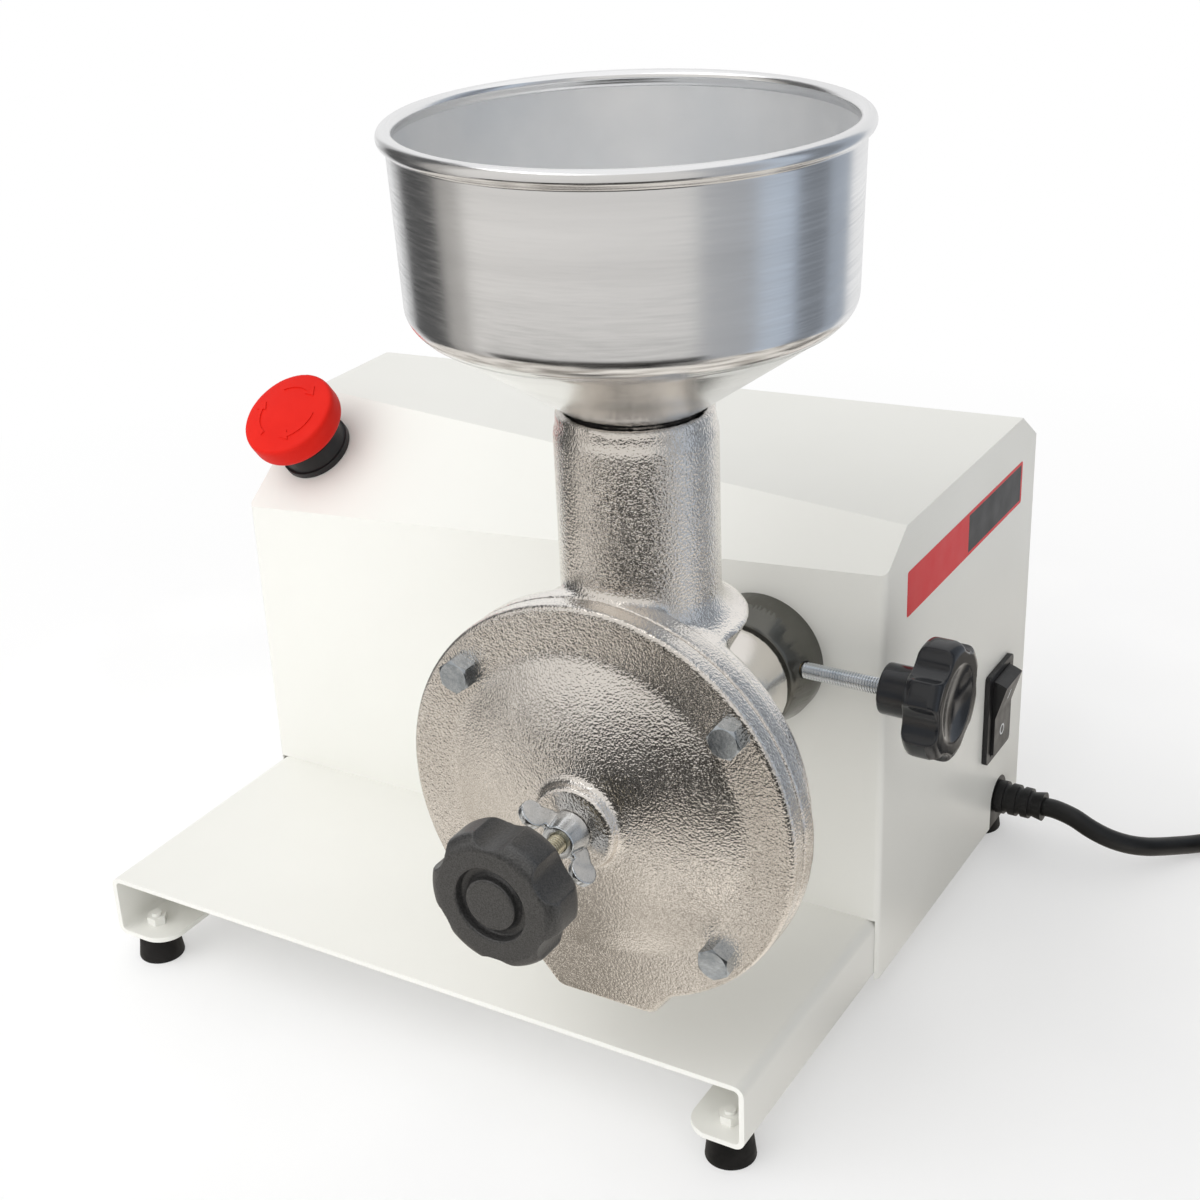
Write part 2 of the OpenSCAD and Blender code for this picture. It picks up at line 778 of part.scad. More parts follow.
module bracket_bolts() {
    color("silver") bracket_places() translate([0, 0, deck_z + bracket_t]) frame_bolt(bracket_t);
}

module socket_collar() {
    color("#4a4744") difference() {
        on_spindle() rotate_extrude() polygon([
            [rib_r, -socket_depth], [socket_r, -socket_depth], [socket_r, collar_reach - 1.5],
            [socket_r + 1.5, collar_reach], [nose_d / 2 - 1, collar_reach], [nose_d / 2, collar_reach - 1],
            [collar_d / 2, collar_band], [collar_d / 2, 0], [shell_r, 0],
            [shell_r, shell_w], [bearing_d / 2 + fit, shell_w], [bearing_d / 2 + fit, seat_w], [rib_r,
                seat_w]]);
        on_clamp() cylinder(r = screw_r + fit, h = collar_d);
    }
}

module collar_nut() {
    color("dimgray") on_spindle() translate([0, 0, -stack - seat - nut_t]) difference() {
        cylinder(r = nut_r, h = nut_t);
        translate([0, 0, -over]) cylinder(r = shell_r + fit, h = nut_t + 2 * over);
        for (a = [0:90:270]) rotate(a) translate([nut_r, 0, nut_t / 2])
            cube([6, 6, nut_t + 2 * over], center = true);
    }
}

module ball_bearing(r, bore, w) {
    rotate_extrude() difference() {
        translate([bore, 0]) square([r - bore, w]);
        for (z = [0, w]) translate([(r + bore) / 2, z]) square([(r - bore) * 0.6, 1.2], center = true);
    }
}

module spindle_bearings() {
    color("silver") on_spindle() for (i = [0, 1])
        translate([0, 0, seat_w - (i + 1) * bearing_w - i * bearing_gap])
            ball_bearing(bearing_d / 2, spindle_r + fit, bearing_w - gap);
}

module drive_spindle() {
    color("gray") on_spindle() difference() {
        union() {
            translate([0, 0, spindle_end]) cylinder(r = spindle_r, h = spindle_front - spindle_end);
            translate([0, 0, seat_w + gap]) cylinder(r = spindle_r + 2.5, h = spindle_front - seat_w - gap);
        }
        translate([0, 0, spindle_front - (tail_len + 4) / 2]) cube([tail_af + 2 * seat, tail_af + 2 * seat,
            tail_len + 4 + 2 * over], center = true);
        translate([0, 0, spindle_end - over]) cylinder(r = frame_r + fit, h = 16 + over);
    }
}

module pulley(r, bore) {
    rotate_extrude() polygon([[bore, 0], [r + rim_h, 0], [r + rim_h, 2], [r, 2.6], [r, pulley_t - 2.6],
        [r + rim_h, pulley_t - 2], [r + rim_h, pulley_t], [bore, pulley_t]]);
}

module driven_pulley() {
    color("#5a5d60") on_spindle() translate([0, 0, spindle_end]) difference() {
        pulley(driven_r, spindle_r + fit);
        for (a = [0:60:300]) rotate(a) translate([(driven_r + spindle_r) / 2, 0, -over])
            cylinder(r = driven_r / 6, h = pulley_t + 2 * over);
    }
}

module pulley_bolt() {
    color("silver") on_spindle() translate([0, 0, spindle_end]) rotate([180, 0, 0]) {
        cylinder(r = spindle_r + 2, h = 1.6);
        translate([0, 0, 1.6]) hex_bolt(frame_af, frame_h, frame_r, 16);
    }
}

module belt_outline(extra) {
    a = atan2(-motor_dz, -motor_dx);
    lean = acos((driven_r - drive_r) / belt_d);
    r1 = driven_r + extra;
    r2 = drive_r + extra;
    circle(r = r1);
    translate([-motor_dx, -motor_dz]) circle(r = r2);
    polygon([for (s = [1, -1]) r1 * [cos(a + s * lean), sin(a + s * lean)],
        for (s = [-1, 1]) [-motor_dx, -motor_dz] + r2 * [cos(a + s * lean), sin(a + s * lean)]]);
}

module drive_belt() {
    color("#1c1c1c") on_spindle() translate([0, 0, belt_mid - belt_w / 2]) linear_extrude(belt_w)
        difference() {
        belt_outline(gap + belt_t);
        belt_outline(gap);
    }
}

module motor_pulley() {
    color("#5a5d60") on_motor() translate([0, 0, spindle_end]) pulley(drive_r, motor_shaft_d / 2 + fit);
}

// Motor

module motor_shaft() {
    color("gray") on_motor() {
        translate([0, 0, motor_end - 2]) cylinder(d = motor_shaft_d,
            h = spindle_end + pulley_t + 2 - motor_end);
        translate([0, 0, rear_w + 4]) cylinder(r = motor_r * 0.55, h = can_len - 8);
    }
}

module motor_can() {
    color("#6d7f8c") on_motor() translate([0, 0, rear_w]) difference() {
        cylinder(r = motor_r, h = can_len);
        translate([0, 0, -over]) cylinder(r = motor_r * 0.55 + 0.5, h = can_len + 2 * over);
    }
}

// End bell with its bearing pocket facing the can
module end_bell() {
    difference() {
        union() {
            cylinder(r = motor_r, h = bell_len - 4);
            translate([0, 0, bell_len - 4]) cylinder(r1 = motor_r, r2 = motor_r - 5, h = 4);
        }
        translate([0, 0, -over]) cylinder(d = motor_shaft_d + 1, h = bell_len + 2 * over);
        translate([0, 0, -over]) cylinder(r = motor_bearing_r + fit, h = motor_bearing_w + over);
        for (a = [0:45:315]) rotate(a) translate([motor_r * 0.66, 0, -over])
            cylinder(r = 5, h = bell_len + 2 * over);
    }
}

module motor_front_bell() {
    color("silver") on_motor() translate([0, 0, can_w]) end_bell();
}

module motor_rear_bell() {
    color("silver") on_motor() translate([0, 0, rear_w]) rotate([180, 0, 0]) end_bell();
}

module motor_bearings() {
    color("silver") on_motor() for (w = [can_w, rear_w - motor_bearing_w])
        translate([0, 0, w]) ball_bearing(motor_bearing_r, motor_shaft_d / 2 + fit, motor_bearing_w);
}

module saddle_places() {
    translate([motor_x, front_y - rear_w - can_len / 2, 0]) at_corners(saddle_w / 2 - 7, 0.31 * can_len)
        children();
}

module motor_saddle() {
    color("dimgray") difference() {
        on_motor() translate([0, 0, rear_w]) linear_extrude(can_len) difference() {
            union() {
                translate([-saddle_w / 2, deck_z - motor_z]) square([saddle_w, saddle_t]);
                translate([-motor_r * 0.8, deck_z - motor_z]) square([motor_r * 1.6, saddle_h]);
            }
            circle(r = motor_r + seat);
            translate([-motor_r * 0.5, deck_z - motor_z - over]) square([motor_r, saddle_t + over]);
        }
        saddle_places() translate([0, 0, deck_z - over]) cylinder(r = frame_r + fit, h = saddle_t + 2 * over);
    }
}

module motor_band() {
    w = 18;
    color("silver") on_motor() translate([0, 0, rear_w + (can_len - w) / 2]) difference() {
        linear_extrude(w) {
            difference() {
                circle(r = motor_r + seat + band_t);
                circle(r = motor_r + seat);
                translate([-motor_d, -2 * motor_d + deck_z + saddle_h + seat - motor_z])
                    square([2 * motor_d, 2 * motor_d]);
            }
        }
    }
}

module saddle_bolts() {
    color("silver") saddle_places() translate([0, 0, deck_z + saddle_t]) frame_bolt(saddle_t);
}

// Electrical pieces on the tray

module run_capacitor() {
    color("whitesmoke") translate([cap_x, cap_y, cap_z]) rotate([-90, 0, 0]) {
        cylinder(d = capacitor_d, h = capacitor_len);
        for (s = [-1, 1]) translate([s * 6, 0, -3]) linear_extrude(6) square([6, 0.8], center = true);
    }
}

module capacitor_clip() {
    r = capacitor_d / 2 + seat;
    color("silver") translate([cap_x, cap_y + (capacitor_len + clip_w) / 2, cap_z]) rotate([90, 0, 0])
        linear_extrude(clip_w) difference() {
            union() {
                circle(r = r + clip_t);
                translate([-r - clip_foot, deck_z - cap_z]) square([2 * (r + clip_foot), clip_t]);
            }
            circle(r = r);
            translate([0, r]) square([2 * (r - clip_mouth), 1.8 * r], center = true);
        }
}

module terminal_block() {
    ways = 4;
    pitch = 10;
    color("ivory") translate([block_x, block_y, deck_z]) difference() {
        union() {
            cube([18, ways * pitch, 9]);
            translate([4, 0, 0]) cube([10, ways * pitch, 15]);
        }
        for (i = [0:ways - 1]) translate([9, (i + 0.5) * pitch, 6]) cylinder(r = 2, h = 10);
        for (i = [0:ways - 1]) translate([-over, (i + 0.5) * pitch, 5]) rotate([0, 90, 0])
            cylinder(r = 1.8, h = 18 + 2 * over);
    }
}

// Grinding head

module bolt_places(r) {
    for (a = bolt_angles) rotate(a) translate([r, 0, 0]) children();
}

module tube_at_head(r, from, to) {
    translate([0, from, -tube_back]) rotate([-90, 0, 0]) cylinder(r = r, h = to - from);
}

module grinder_body() {
    spigot_end = head_reach + socket_depth - 1;
    color("#c9cacc") on_head() difference() {
        union() {
            rotate_extrude() polygon(concat([[0, 0], [cover_d / 2, 0]],
                arc([cover_d / 2 - edge_r, -flange_t + edge_r], edge_r, 0, -90, 4),
                arc([drum_d / 2 + edge_r, -flange_t - edge_r], edge_r, 90, 180, 4),
                arc([drum_d / 2 - 5, -drum_depth + 4], 4, 0, -40, 4),
                [[shoulder_d / 2 + 1, -cone_end + 1], [shoulder_d / 2, -cone_end], [shoulder_d / 2,
                    -cone_end - 8]],
                arc([neck_d / 2 + 4, -cone_end - 14], 4, 120, 180, 4),
                [[neck_d / 2, -head_reach + collar_reach + 2], [spigot_r, -head_reach + collar_reach + 2],
                [spigot_r, -spigot_end + 1], [spigot_r - 1, -spigot_end], [0, -spigot_end]]));
            tube_at_head(tube_d / 2, 0, tube_rise - 6);
            tube_at_head(tube_d / 2 - 0.8, 0, tube_rise);
            translate([0, flare_base, -tube_back]) rotate([-90, 0, 0]) rotate_extrude() polygon(concat(
                [[0, 0], [tube_d / 2 - 1, -2 * tube_fillet]],
                arc([tube_d / 2 + tube_fillet, tube_fillet], tube_fillet, 270, 180, 6), [[0, tube_fillet]]));
        }
        translate([-block / 2, -block / 2, 0]) cube(block);
        translate([0, 0, -chamber_depth]) cylinder(d = chamber_d, h = chamber_depth + over);
        translate([0, 0, -auger_end]) cylinder(d = auger_bore, h = auger_end);
        tube_at_head(tube_bore / 2, 0, tube_rise + over);
        tube_at_head(throat_r + seat, tube_rise - throat_len, tube_rise + over);
        translate([0, 0, -bush_from - bush_len]) cylinder(d = bush_d + 2 * seat, h = bush_len + bush_from);
        translate([0, 0, -spigot_end - over]) cylinder(r = shaft_r + 1.5, h = spigot_end);
        translate([-chute_w / 2, -cover_d, -chamber_depth]) cube([chute_w, cover_d - chute_top,
            chamber_depth + over]);
        bolt_places(bolt_circle / 2) translate([0, 0, -flange_t - over]) cylinder(r = screw_r + fit,
            h = flange_t + 2 * over);
        bolt_places(burr_screw_circle) translate([0, 0, -chamber_depth - 6])
            cylinder(r = burr_screw_r + fit, h = 8);
    }
}

// Radial teeth on the face at z = 0, rising along +z
module burr_face(outer, inner, rise) {
    for (i = [0:burr_teeth - 1]) rotate(360 * i / burr_teeth)
        translate([inner, -1.1, 0]) cube([outer - inner, 2.2, rise]);
}

module fixed_burr() {
    tooth = 1.2;
    color("#8a8c8e") on_head() translate([0, 0, -chamber_depth]) difference() {
        union() {
            cylinder(d = burr_d, h = burr_t - tooth);
            intersection() {
                translate([0, 0, burr_t - 2 * tooth]) burr_face(burr_d / 2, auger_bore / 2 + 1, 2 * tooth);
                cylinder(d = rotor_d, h = burr_t);
            }
        }
        translate([0, 0, -over]) cylinder(d = auger_bore, h = burr_t + 2 * over);
        bolt_places(burr_screw_circle) translate([0, 0, -over]) {
            cylinder(r = burr_screw_r + fit, h = burr_t + 2 * over);
            translate([0, 0, over + 1.2]) cylinder(r = 4, h = burr_t);
        }
    }
}

module burr_screws() {
    color("silver") on_head() bolt_places(burr_screw_circle) translate([0, 0, -chamber_depth]) {
        translate([0, 0, -5]) cylinder(r = burr_screw_r, h = 6.2 + seat);
        translate([0, 0, 1.2 + seat]) cylinder(r = 3.6, h = 2);
    }
}

module rotating_burr() {
    tooth = 1.2;
    color("#8a8c8e") on_head() difference() {
        union() {
            translate([0, 0, rotor_front - burr_t + tooth]) cylinder(d = rotor_d, h = burr_t - tooth);
            intersection() {
                translate([0, 0, rotor_front - burr_t]) burr_face(rotor_d / 2, shaft_r + 4, 2 * tooth);
                translate([0, 0, rotor_front - burr_t]) cylinder(d = rotor_d, h = burr_t);
            }
            translate([0, 0, rotor_front - burr_t + tooth]) cylinder(r = shaft_r + 4.5,
                h = burr_t - tooth + 3);
        }
        translate([0, 0, -burr_t]) cylinder(r = shaft_r + fit, h = 4 * burr_t);
        translate([0, 0, pin_u + pin_r]) cube([pin_len + 2, 2 * (pin_r + fit), 4 * pin_r + 2 * fit],
            center = true);
    }
}

module burr_pin() {
    color("silver") on_head() translate([-pin_len / 2, 0, pin_u]) rotate([0, 90, 0])
        cylinder(r = pin_r, h = pin_len);
}

module auger_shaft() {
    tail_u = -head_reach + tail_end;
    square_u = -bush_from - bush_len - 8;
    color("gray") on_head() difference() {
        union() {
            translate([0, 0, square_u]) cylinder(r = shaft_r, h = nose_u - square_u);
            translate([0, 0, (tail_u + square_u) / 2]) cube([tail_af, tail_af, square_u - tail_u + 2 * over],
                center = true);
        }
        translate([-shaft_d, 0, pin_u]) rotate([0, 90, 0]) cylinder(r = pin_r + fit, h = 2 * shaft_d);
    }
}

module feed_auger() {
    core = 3;
    flight = 4;
    length = auger_end - chamber_depth - 1.5;
    color("#9a9c9e") on_head() translate([0, 0, -auger_end + 0.8]) linear_extrude(length, twist = -430,
        slices = 20, segments = 0) difference() {
            union() {
                circle(r = shaft_r + core, $fn = 18);
                intersection() {
                    circle(r = auger_bore / 2 - 1, $fn = 18);
                    translate([0, -flight / 2]) square([auger_bore, flight]);
                }
            }
            circle(r = (shaft_r + seat) / cos(10), $fn = 18);
        }
}

module auger_bush() {
    color("#b08d57") on_head() translate([0, 0, -bush_from - bush_len]) ring(bush_d / 2, shaft_r + fit,
        bush_len);
}

// Discharge lip below the cover, with rounded lower corners
module lip_outline(in) {
    low = -cover_d / 2 - lip_drop + in;
    wide = lip_w / 2 - in;
    lean = atan2(lip_flare, lip_drop + lip_flare);
    polygon(concat([[-wide - lip_flare, -cover_d / 2 + lip_flare]],
        arc([lip_r - wide, low + lip_r], lip_r, 180 + lean, 270, 4),
        arc([wide - lip_r, low + lip_r], lip_r, 270, 360 - lean, 4),
        [[wide + lip_flare, -cover_d / 2 + lip_flare]]));
}

// Half the cover's outside: rim, dome and boss, each running into the next
module cover_profile() {
    dome_edge = asin(dome_d / 2 / dome_r);
    edge_at = dome_d / 2 + dome_fillet * tan(dome_edge / 2);
    boss_r = boss_d / 2;
    foot_r = boss_r + boss_fillet;
    dome_from = asin((edge_at - dome_fillet * sin(dome_edge)) / dome_r);
    polygon(concat([[0, 0], [cover_d / 2, 0]],
        arc([cover_d / 2 - edge_r, cover_t - edge_r], edge_r, 0, 90, 4),
        arc([edge_at, cover_t + dome_fillet], dome_fillet, 270, 270 - dome_edge, 4),
        arc([0, dome_c], dome_r, 90 - 0.97 * dome_from, 90 - asin((foot_r + 1) / dome_r), 8),
        arc([foot_r, dome_c + sqrt(pow(dome_r, 2) - pow(foot_r, 2)) + boss_fillet], boss_fillet, 270, 180, 4),
        arc([boss_r - edge_r, boss_u - edge_r], edge_r, 0, 90, 4), [[0, boss_u]]));
}

module grinder_cover() {
    color("#c9cacc") on_head() difference() {
        union() {
            rotate_extrude($fn = 96) cover_profile();
            linear_extrude(cover_t - 1) lip_outline(0);
            linear_extrude(cover_t) lip_outline(1);
        }
        intersection() {
            translate([0, 0, dome_c]) sphere(r = dome_r - dome_t, $fn = 96);
            translate([0, 0, -over]) cylinder(d = chamber_d, h = 2 * cover_t + dome_rise);
        }
        cylinder(r = pocket_r, h = pocket_u);
        cylinder(r = screw_r + fit, h = boss_u + over);
        translate([-chute_w / 2, -cover_d, -over]) cube([chute_w, cover_d - chute_top, 2 + over]);
        bolt_places(bolt_circle / 2) translate([0, 0, -over]) cylinder(r = screw_r + fit,
            h = cover_t + 2 * over);
    }
}

module cover_bolts() {
    color("silver") on_head() bolt_places(bolt_circle / 2) translate([0, 0, cover_t]) rotate(15)
        hex_bolt(hex_af, hex_h, screw_r, bolt_len);
}

// Adjuster

module thrust_pad() {
    color("gray") on_head() translate([0, 0, nose_u + gap]) cylinder(r = pad_r, h = pad_t - gap);
}

module adjusting_screw() {
    color("#c8bf9a") on_head() translate([0, 0, nose_u + pad_t]) cylinder(r = screw_r,
        h = knob_u + hub_len + 8 - nose_u - pad_t);
}

// Round head with finger scallops: hub first, face last
module knob(d, t, hub, long, bite, bore_depth) {
    r = d / 2;
    lip = 0.28 * t;
    difference() {
        union() {
            cylinder(d = hub, h = long + over);
            translate([0, 0, long]) rotate_extrude() {
                square([r - lip, t]);
                translate([0, lip]) square([r, t - 2 * lip]);
                for (z = [lip, t - lip]) translate([r - lip, z]) circle(r = lip);
            }
        }
        for (i = [0:scallops - 1]) rotate(360 * (i + 0.5) / scallops) translate([r * 1.25, 0, long - over])
            cylinder(r = r * 0.25 + bite, h = t + 2 * over);
        translate([0, 0, -over]) cylinder(r = screw_r + seat, h = bore_depth + over);
    }
}

module front_knob() {
    color("#2a2a2a") on_head() translate([0, 0, knob_u]) difference() {
        knob(knob_d, knob_t, hub_d, hub_len, 3.4, hub_len + 8 + seat);
        translate([0, 0, hub_len + knob_t - 2.5]) ring(knob_d * 0.235, knob_d * 0.19, 4);
    }
}

module wing_nut() {
    hub_r = 7;
    tip_r = 4.5;
    tip_u = 8;
    tip_x = wing_span / 2 - tip_r;
    color("silver") on_head() translate([0, 0, boss_u + gap]) difference() {
        union() {
            cylinder(r1 = hub_r, r2 = hub_r - 1.5, h = tip_u);
            for (s = [0, 180]) rotate(s - 43) rotate([90, 0, 0]) translate([0, 0, -1.25])
                linear_extrude(2.5) {
                translate([tip_x, tip_u]) circle(r = tip_r);
                polygon([[screw_d * 0.7, 0.8], [hub_r + 1, 0.8], [tip_x, tip_u - 0.98 * tip_r],
                    [tip_x + 0.9 * tip_r, tip_u - 0.4 * tip_r], [tip_x - 0.2 * tip_r, tip_u + 0.97 * tip_r],
                    [hub_r, tip_u - 0.6], [screw_d * 0.7, tip_u - 0.6]]);
            }
        }
        translate([0, 0, -over]) cylinder(r = screw_r + fit, h = 30);
    }
}

// Clamp of the socket

module clamp_tip() {
    color("#b08d57") on_clamp() translate([0, 0, clamp_x]) cylinder(r = screw_r - 0.6, h = tip_len - gap);
}

module clamp_rod() {
    color("silver") on_clamp() translate([0, 0, clamp_x + tip_len]) cylinder(r = screw_r,
        h = clamp_hub + clamp_hub_len + 8 - clamp_x - tip_len);
}

module clamp_knob() {
    dish_r = clamp_d * 0.9;
    color("#161616") on_clamp() translate([0, 0, clamp_hub]) difference() {
        knob(clamp_d, clamp_t, clamp_hub_d, clamp_hub_len, 4, clamp_hub_len + 8 + seat);
        translate([0, 0, clamp_hub_len + clamp_t + dish_r - 2.5]) sphere(r = dish_r);
    }
}

// Hopper

function hopper_line(off) = let (r = hopper_round - off, c = [round_r, round_z],
    a = [for (i = [0:6]) c + r * [cos((hopper_cone - 90) * (1 - i / 6)), sin((hopper_cone - 90)
        * (1 - i / 6))]],
    neck = throat_r - off)
    concat([[neck, tube_z - throat_len + seat], [neck, a[0][1] - (a[0][0] - neck) * tan(hopper_cone)]],
        a, [[hopper_top_r - off, rim_z - bead_r]]);

module hopper() {
    outside = hopper_line(0);
    inside = hopper_line(hopper_t);
    n = len(inside);
    color("#d5d7da") translate([axis_x, tube_y, 0]) rotate_extrude($fn = 96) {
        polygon(concat(outside, [for (i = [0:n - 1]) inside[n - 1 - i]]));
        translate([hopper_top_r, rim_z - bead_r]) circle(r = bead_r, $fn = 24);
    }
}

// Stop button

module stop_collar() {
    color("#1b1b1b") on_facet() difference() {
        union() {
            translate([0, 0, seat]) cylinder(r = barrel_r + 4, h = 3 - seat);
            translate([0, 0, 3]) cylinder(r1 = barrel_r + 3, r2 = barrel_r + 1.5, h = stop_ring_h - 3);
            translate([0, 0, -barrel_len]) cylinder(r = barrel_r, h = barrel_len + over);
        }
        translate([0, 0, -barrel_len - over]) cylinder(r = stem_r + fit,
            h = barrel_len + stop_ring_h + 2 * over);
    }
}

module stop_nut() {
    color("#2b2b2b") on_facet() translate([0, 0, -hood_t - seat - 5]) difference() {
        cylinder(d = 28 / cos(30), h = 5, $fn = 6);
        translate([0, 0, -over]) cylinder(r = barrel_r + fit, h = 5 + 2 * over);
    }
}

module stop_plunger() {
    color("#2b2b2b") on_facet() translate([0, 0, -barrel_len - 4]) cylinder(r = stem_r,
        h = barrel_len + 4 + stop_under + 5);
}

module stop_head() {
    r = stop_d / 2;
    rim = 4;
    cap_r = (pow(r - rim, 2) + 16) / 8;
    color("#d8231f") on_facet() translate([0, 0, stop_under]) difference() {
        intersection() {
            rotate_extrude() {
                square([r - rim, stop_h]);
                translate([0, rim]) square([r, stop_h - 2 * rim]);
                for (z = [rim, stop_h - rim]) translate([r - rim, z]) circle(r = rim);
            }
            translate([0, 0, stop_h - 3 * cap_r]) sphere(r = 3 * cap_r, $fn = 96);
        }
        translate([0, 0, -over]) cylinder(r = stem_r + seat, h = 5 + seat + over);
        translate([0, 0, -over]) ring(r - rim, stem_r + 3, 4 + over);
    }
}

module stop_contacts() {
    color("#e4e0d2") on_facet() translate([0, 0, -barrel_len - seat - contacts_len]) difference() {
        translate([-contacts_w / 2, -contacts_w / 2, 0]) cube([contacts_w, contacts_w, contacts_len]);
        translate([0, 0, contacts_len - 14 - stop_travel]) cylinder(r = stem_r + gap, h = 15 + stop_travel);
    }
}

// Rocker switch

module switch_housing() {
    color("#1a1a1a") on_side() difference() {
        union() {
            linear_extrude(bezel_t) round_rect(bezel_w, bezel_h, 2);
            translate([0, 0, -housing_depth]) linear_extrude(housing_depth + over)
                square([rocker_w + 5, 2 * rocker_r + 3], center = true);
        }
        translate([0, 0, rocker_axis - wall_x]) rotate([0, 90, 0]) {
            cylinder(r = rocker_r + gap, h = rocker_w + 2 * gap, center = true);
            cylinder(r = rocker_pin_r + fit, h = rocker_w + 4, center = true);
        }
        translate([0, 0, rocker_axis - wall_x]) linear_extrude(2 * bezel_t + over)
            square([rocker_w + 2 * gap, 2 * (rocker_r + gap)], center = true);
    }
}

// The lower half of the face is pressed in and the upper half stands out
module rocker() {
    x = rocker_face - rocker_axis + wall_x;
    r = rocker_r;
    color("#232323") on_side() translate([0, 0, rocker_axis - wall_x]) {
        rotate([90, 0, 90]) translate([0, 0, -rocker_w / 2]) linear_extrude(rocker_w) intersection() {
            circle(r = r);
            polygon([[-r, -7], [r, -7], [r, x + r * tan(rocker_swing)], [0, x], [-r, x]]);
        }
        rotate([0, 90, 0]) cylinder(r = rocker_pin_r, h = rocker_w + 3.4, center = true);
    }
}

// Supply cord

module strain_relief() {
    ribs = 3;
    rim = 4;
    inside = tray_w / 2 - tray_t - 3;
    step = (relief_len - rim) / ribs;
    color("#1e1e1e") {
        translate([tray_w / 2 + seat, 0, 0]) cord_slot(slot_r, foot_h, hood_t);
        translate([0, cord_y, cord_z]) rotate([0, 90, 0]) {
            translate([0, 0, inside]) cylinder(r = relief_r - 0.2, h = 3 - seat);
            translate([0, 0, inside]) cylinder(r = relief_r - 1.5, h = wall_x - inside);
            translate([0, 0, tray_w / 2 + 2 * seat]) cylinder(r1 = relief_r - 0.6, r2 = cord_r + 1,
                h = relief_end - tray_w / 2 - 2 * seat);
            for (i = [0:ribs - 1]) translate([0, 0, wall_x + i * step + 0.6])
                cylinder(r = relief_r - 0.3 * i, h = step * 0.6);
            translate([0, 0, relief_end - rim]) cylinder(r1 = cord_r + 1.4, r2 = cord_r + 2.2, h = rim);
        }
    }
}

module supply_cord() {
    color("#141414") sweep(cord_points, cord_r, 12);
}

module cord_coil() {
    color("#141414") sweep(coil_points, cord_r, 6);
}

module cord_tie() {
    low = coil_in - cord_r - tie_room;
    high = coil_in + coil_pitch * coil_turns / 2 + cord_r + tie_room;
    tall = coil_low + coil_layer + cord_r + seat;
    color("#303030") translate([coil_mid[0], coil_mid[1], 0]) rotate(heading - 40)
        translate([low - tie_t, -tie_w / 2, 0]) difference() {
            cube([high - low + 2 * tie_t, tie_w, tall + tie_t]);
            translate([tie_t, -over, tie_t]) cube([high - low, tie_w + 2 * over, tall - tie_t]);
        }
}

module power_plug() {
    color("#1a1a1a") translate(coil_to + seat * run) rotate(heading) rotate([0, 90, 0]) {
        cylinder(r1 = cord_r + 1, r2 = cord_r + 4, h = plug_neck + over);
        translate([0, 0, plug_neck]) linear_extrude(plug_len) polygon([[-plug_h / 2, -plug_w / 3],
            [-plug_h / 2, plug_w / 3], [0, plug_w / 2], [plug_h / 2, plug_w / 3], [plug_h / 2, -plug_w / 3],
            [0, -plug_w / 2]]);
        for (i = [-1:1]) translate([i == 0 ? -plug_earth : 0, i * plug_pin_gap, plug_neck + plug_len - over])
            cylinder(r = plug_pin_r, h = plug_pin_len + over);
    }
}

base_tray();
rubber_feet();
foot_screws();
foot_nuts();
cabinet_hood();
hood_screws();
rear_panel();
rear_screws();
spindle_bracket();
bracket_bolts();
socket_collar();
collar_nut();
spindle_bearings();
drive_spindle();
driven_pulley();
pulley_bolt();
drive_belt();
motor_pulley();
motor_shaft();
motor_can();
motor_front_bell();
motor_rear_bell();
motor_bearings();
motor_saddle();
motor_band();
saddle_bolts();
run_capacitor();
capacitor_clip();
terminal_block();
grinder_body();
fixed_burr();
burr_screws();
rotating_burr();
burr_pin();
auger_shaft();
feed_auger();
auger_bush();
grinder_cover();
cover_bolts();
thrust_pad();
adjusting_screw();
front_knob();
wing_nut();
clamp_tip();
clamp_rod();
clamp_knob();
hopper();
stop_collar();
stop_nut();
stop_plunger();
stop_head();
stop_contacts();
switch_housing();
rocker();
strain_relief();
supply_cord();
cord_coil();
cord_tie();
power_plug();
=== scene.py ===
# %% [markdown]
# # A bench coffee grinder, dressed step by step
#
# The solid model gives every piece its size and place. This lesson gives the pieces their looks:
# powder-coated sheet, tinned castings, a spun hopper, moulded knobs and a mains cord. First the
# imported model is loaded, and a helper reads the box of any of its pieces.

# %% Load the imported model
import math
import bpy
import bmesh
from mathutils import Matrix, Vector


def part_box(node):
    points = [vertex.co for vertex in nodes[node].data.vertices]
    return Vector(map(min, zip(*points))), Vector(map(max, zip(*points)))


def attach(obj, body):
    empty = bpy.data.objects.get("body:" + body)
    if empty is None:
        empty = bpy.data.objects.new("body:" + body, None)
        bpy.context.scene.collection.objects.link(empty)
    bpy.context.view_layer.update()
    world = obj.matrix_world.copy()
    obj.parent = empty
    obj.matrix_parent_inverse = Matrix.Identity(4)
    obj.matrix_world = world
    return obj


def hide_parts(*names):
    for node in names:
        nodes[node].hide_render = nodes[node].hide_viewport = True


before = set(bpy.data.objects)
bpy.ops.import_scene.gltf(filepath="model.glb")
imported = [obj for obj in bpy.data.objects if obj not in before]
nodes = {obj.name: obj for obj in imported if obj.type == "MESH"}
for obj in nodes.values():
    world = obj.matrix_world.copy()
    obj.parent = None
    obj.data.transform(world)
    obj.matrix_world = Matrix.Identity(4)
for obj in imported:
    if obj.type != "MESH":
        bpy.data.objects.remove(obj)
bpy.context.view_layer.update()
scene = bpy.context.scene
MM = 0.001
print("pieces in the solid model:", len(nodes))

# %% [markdown]
# ## The camera
#
# The photograph looks down on the machine from its front right corner. A long lens keeps the
# upright edges nearly parallel. A camera can be turned by three rotations in a row, but their
# order is easy to mix up. Here its three axes are worked out from two angles and a small roll,
# and they become the columns of its matrix, which is easier to check.

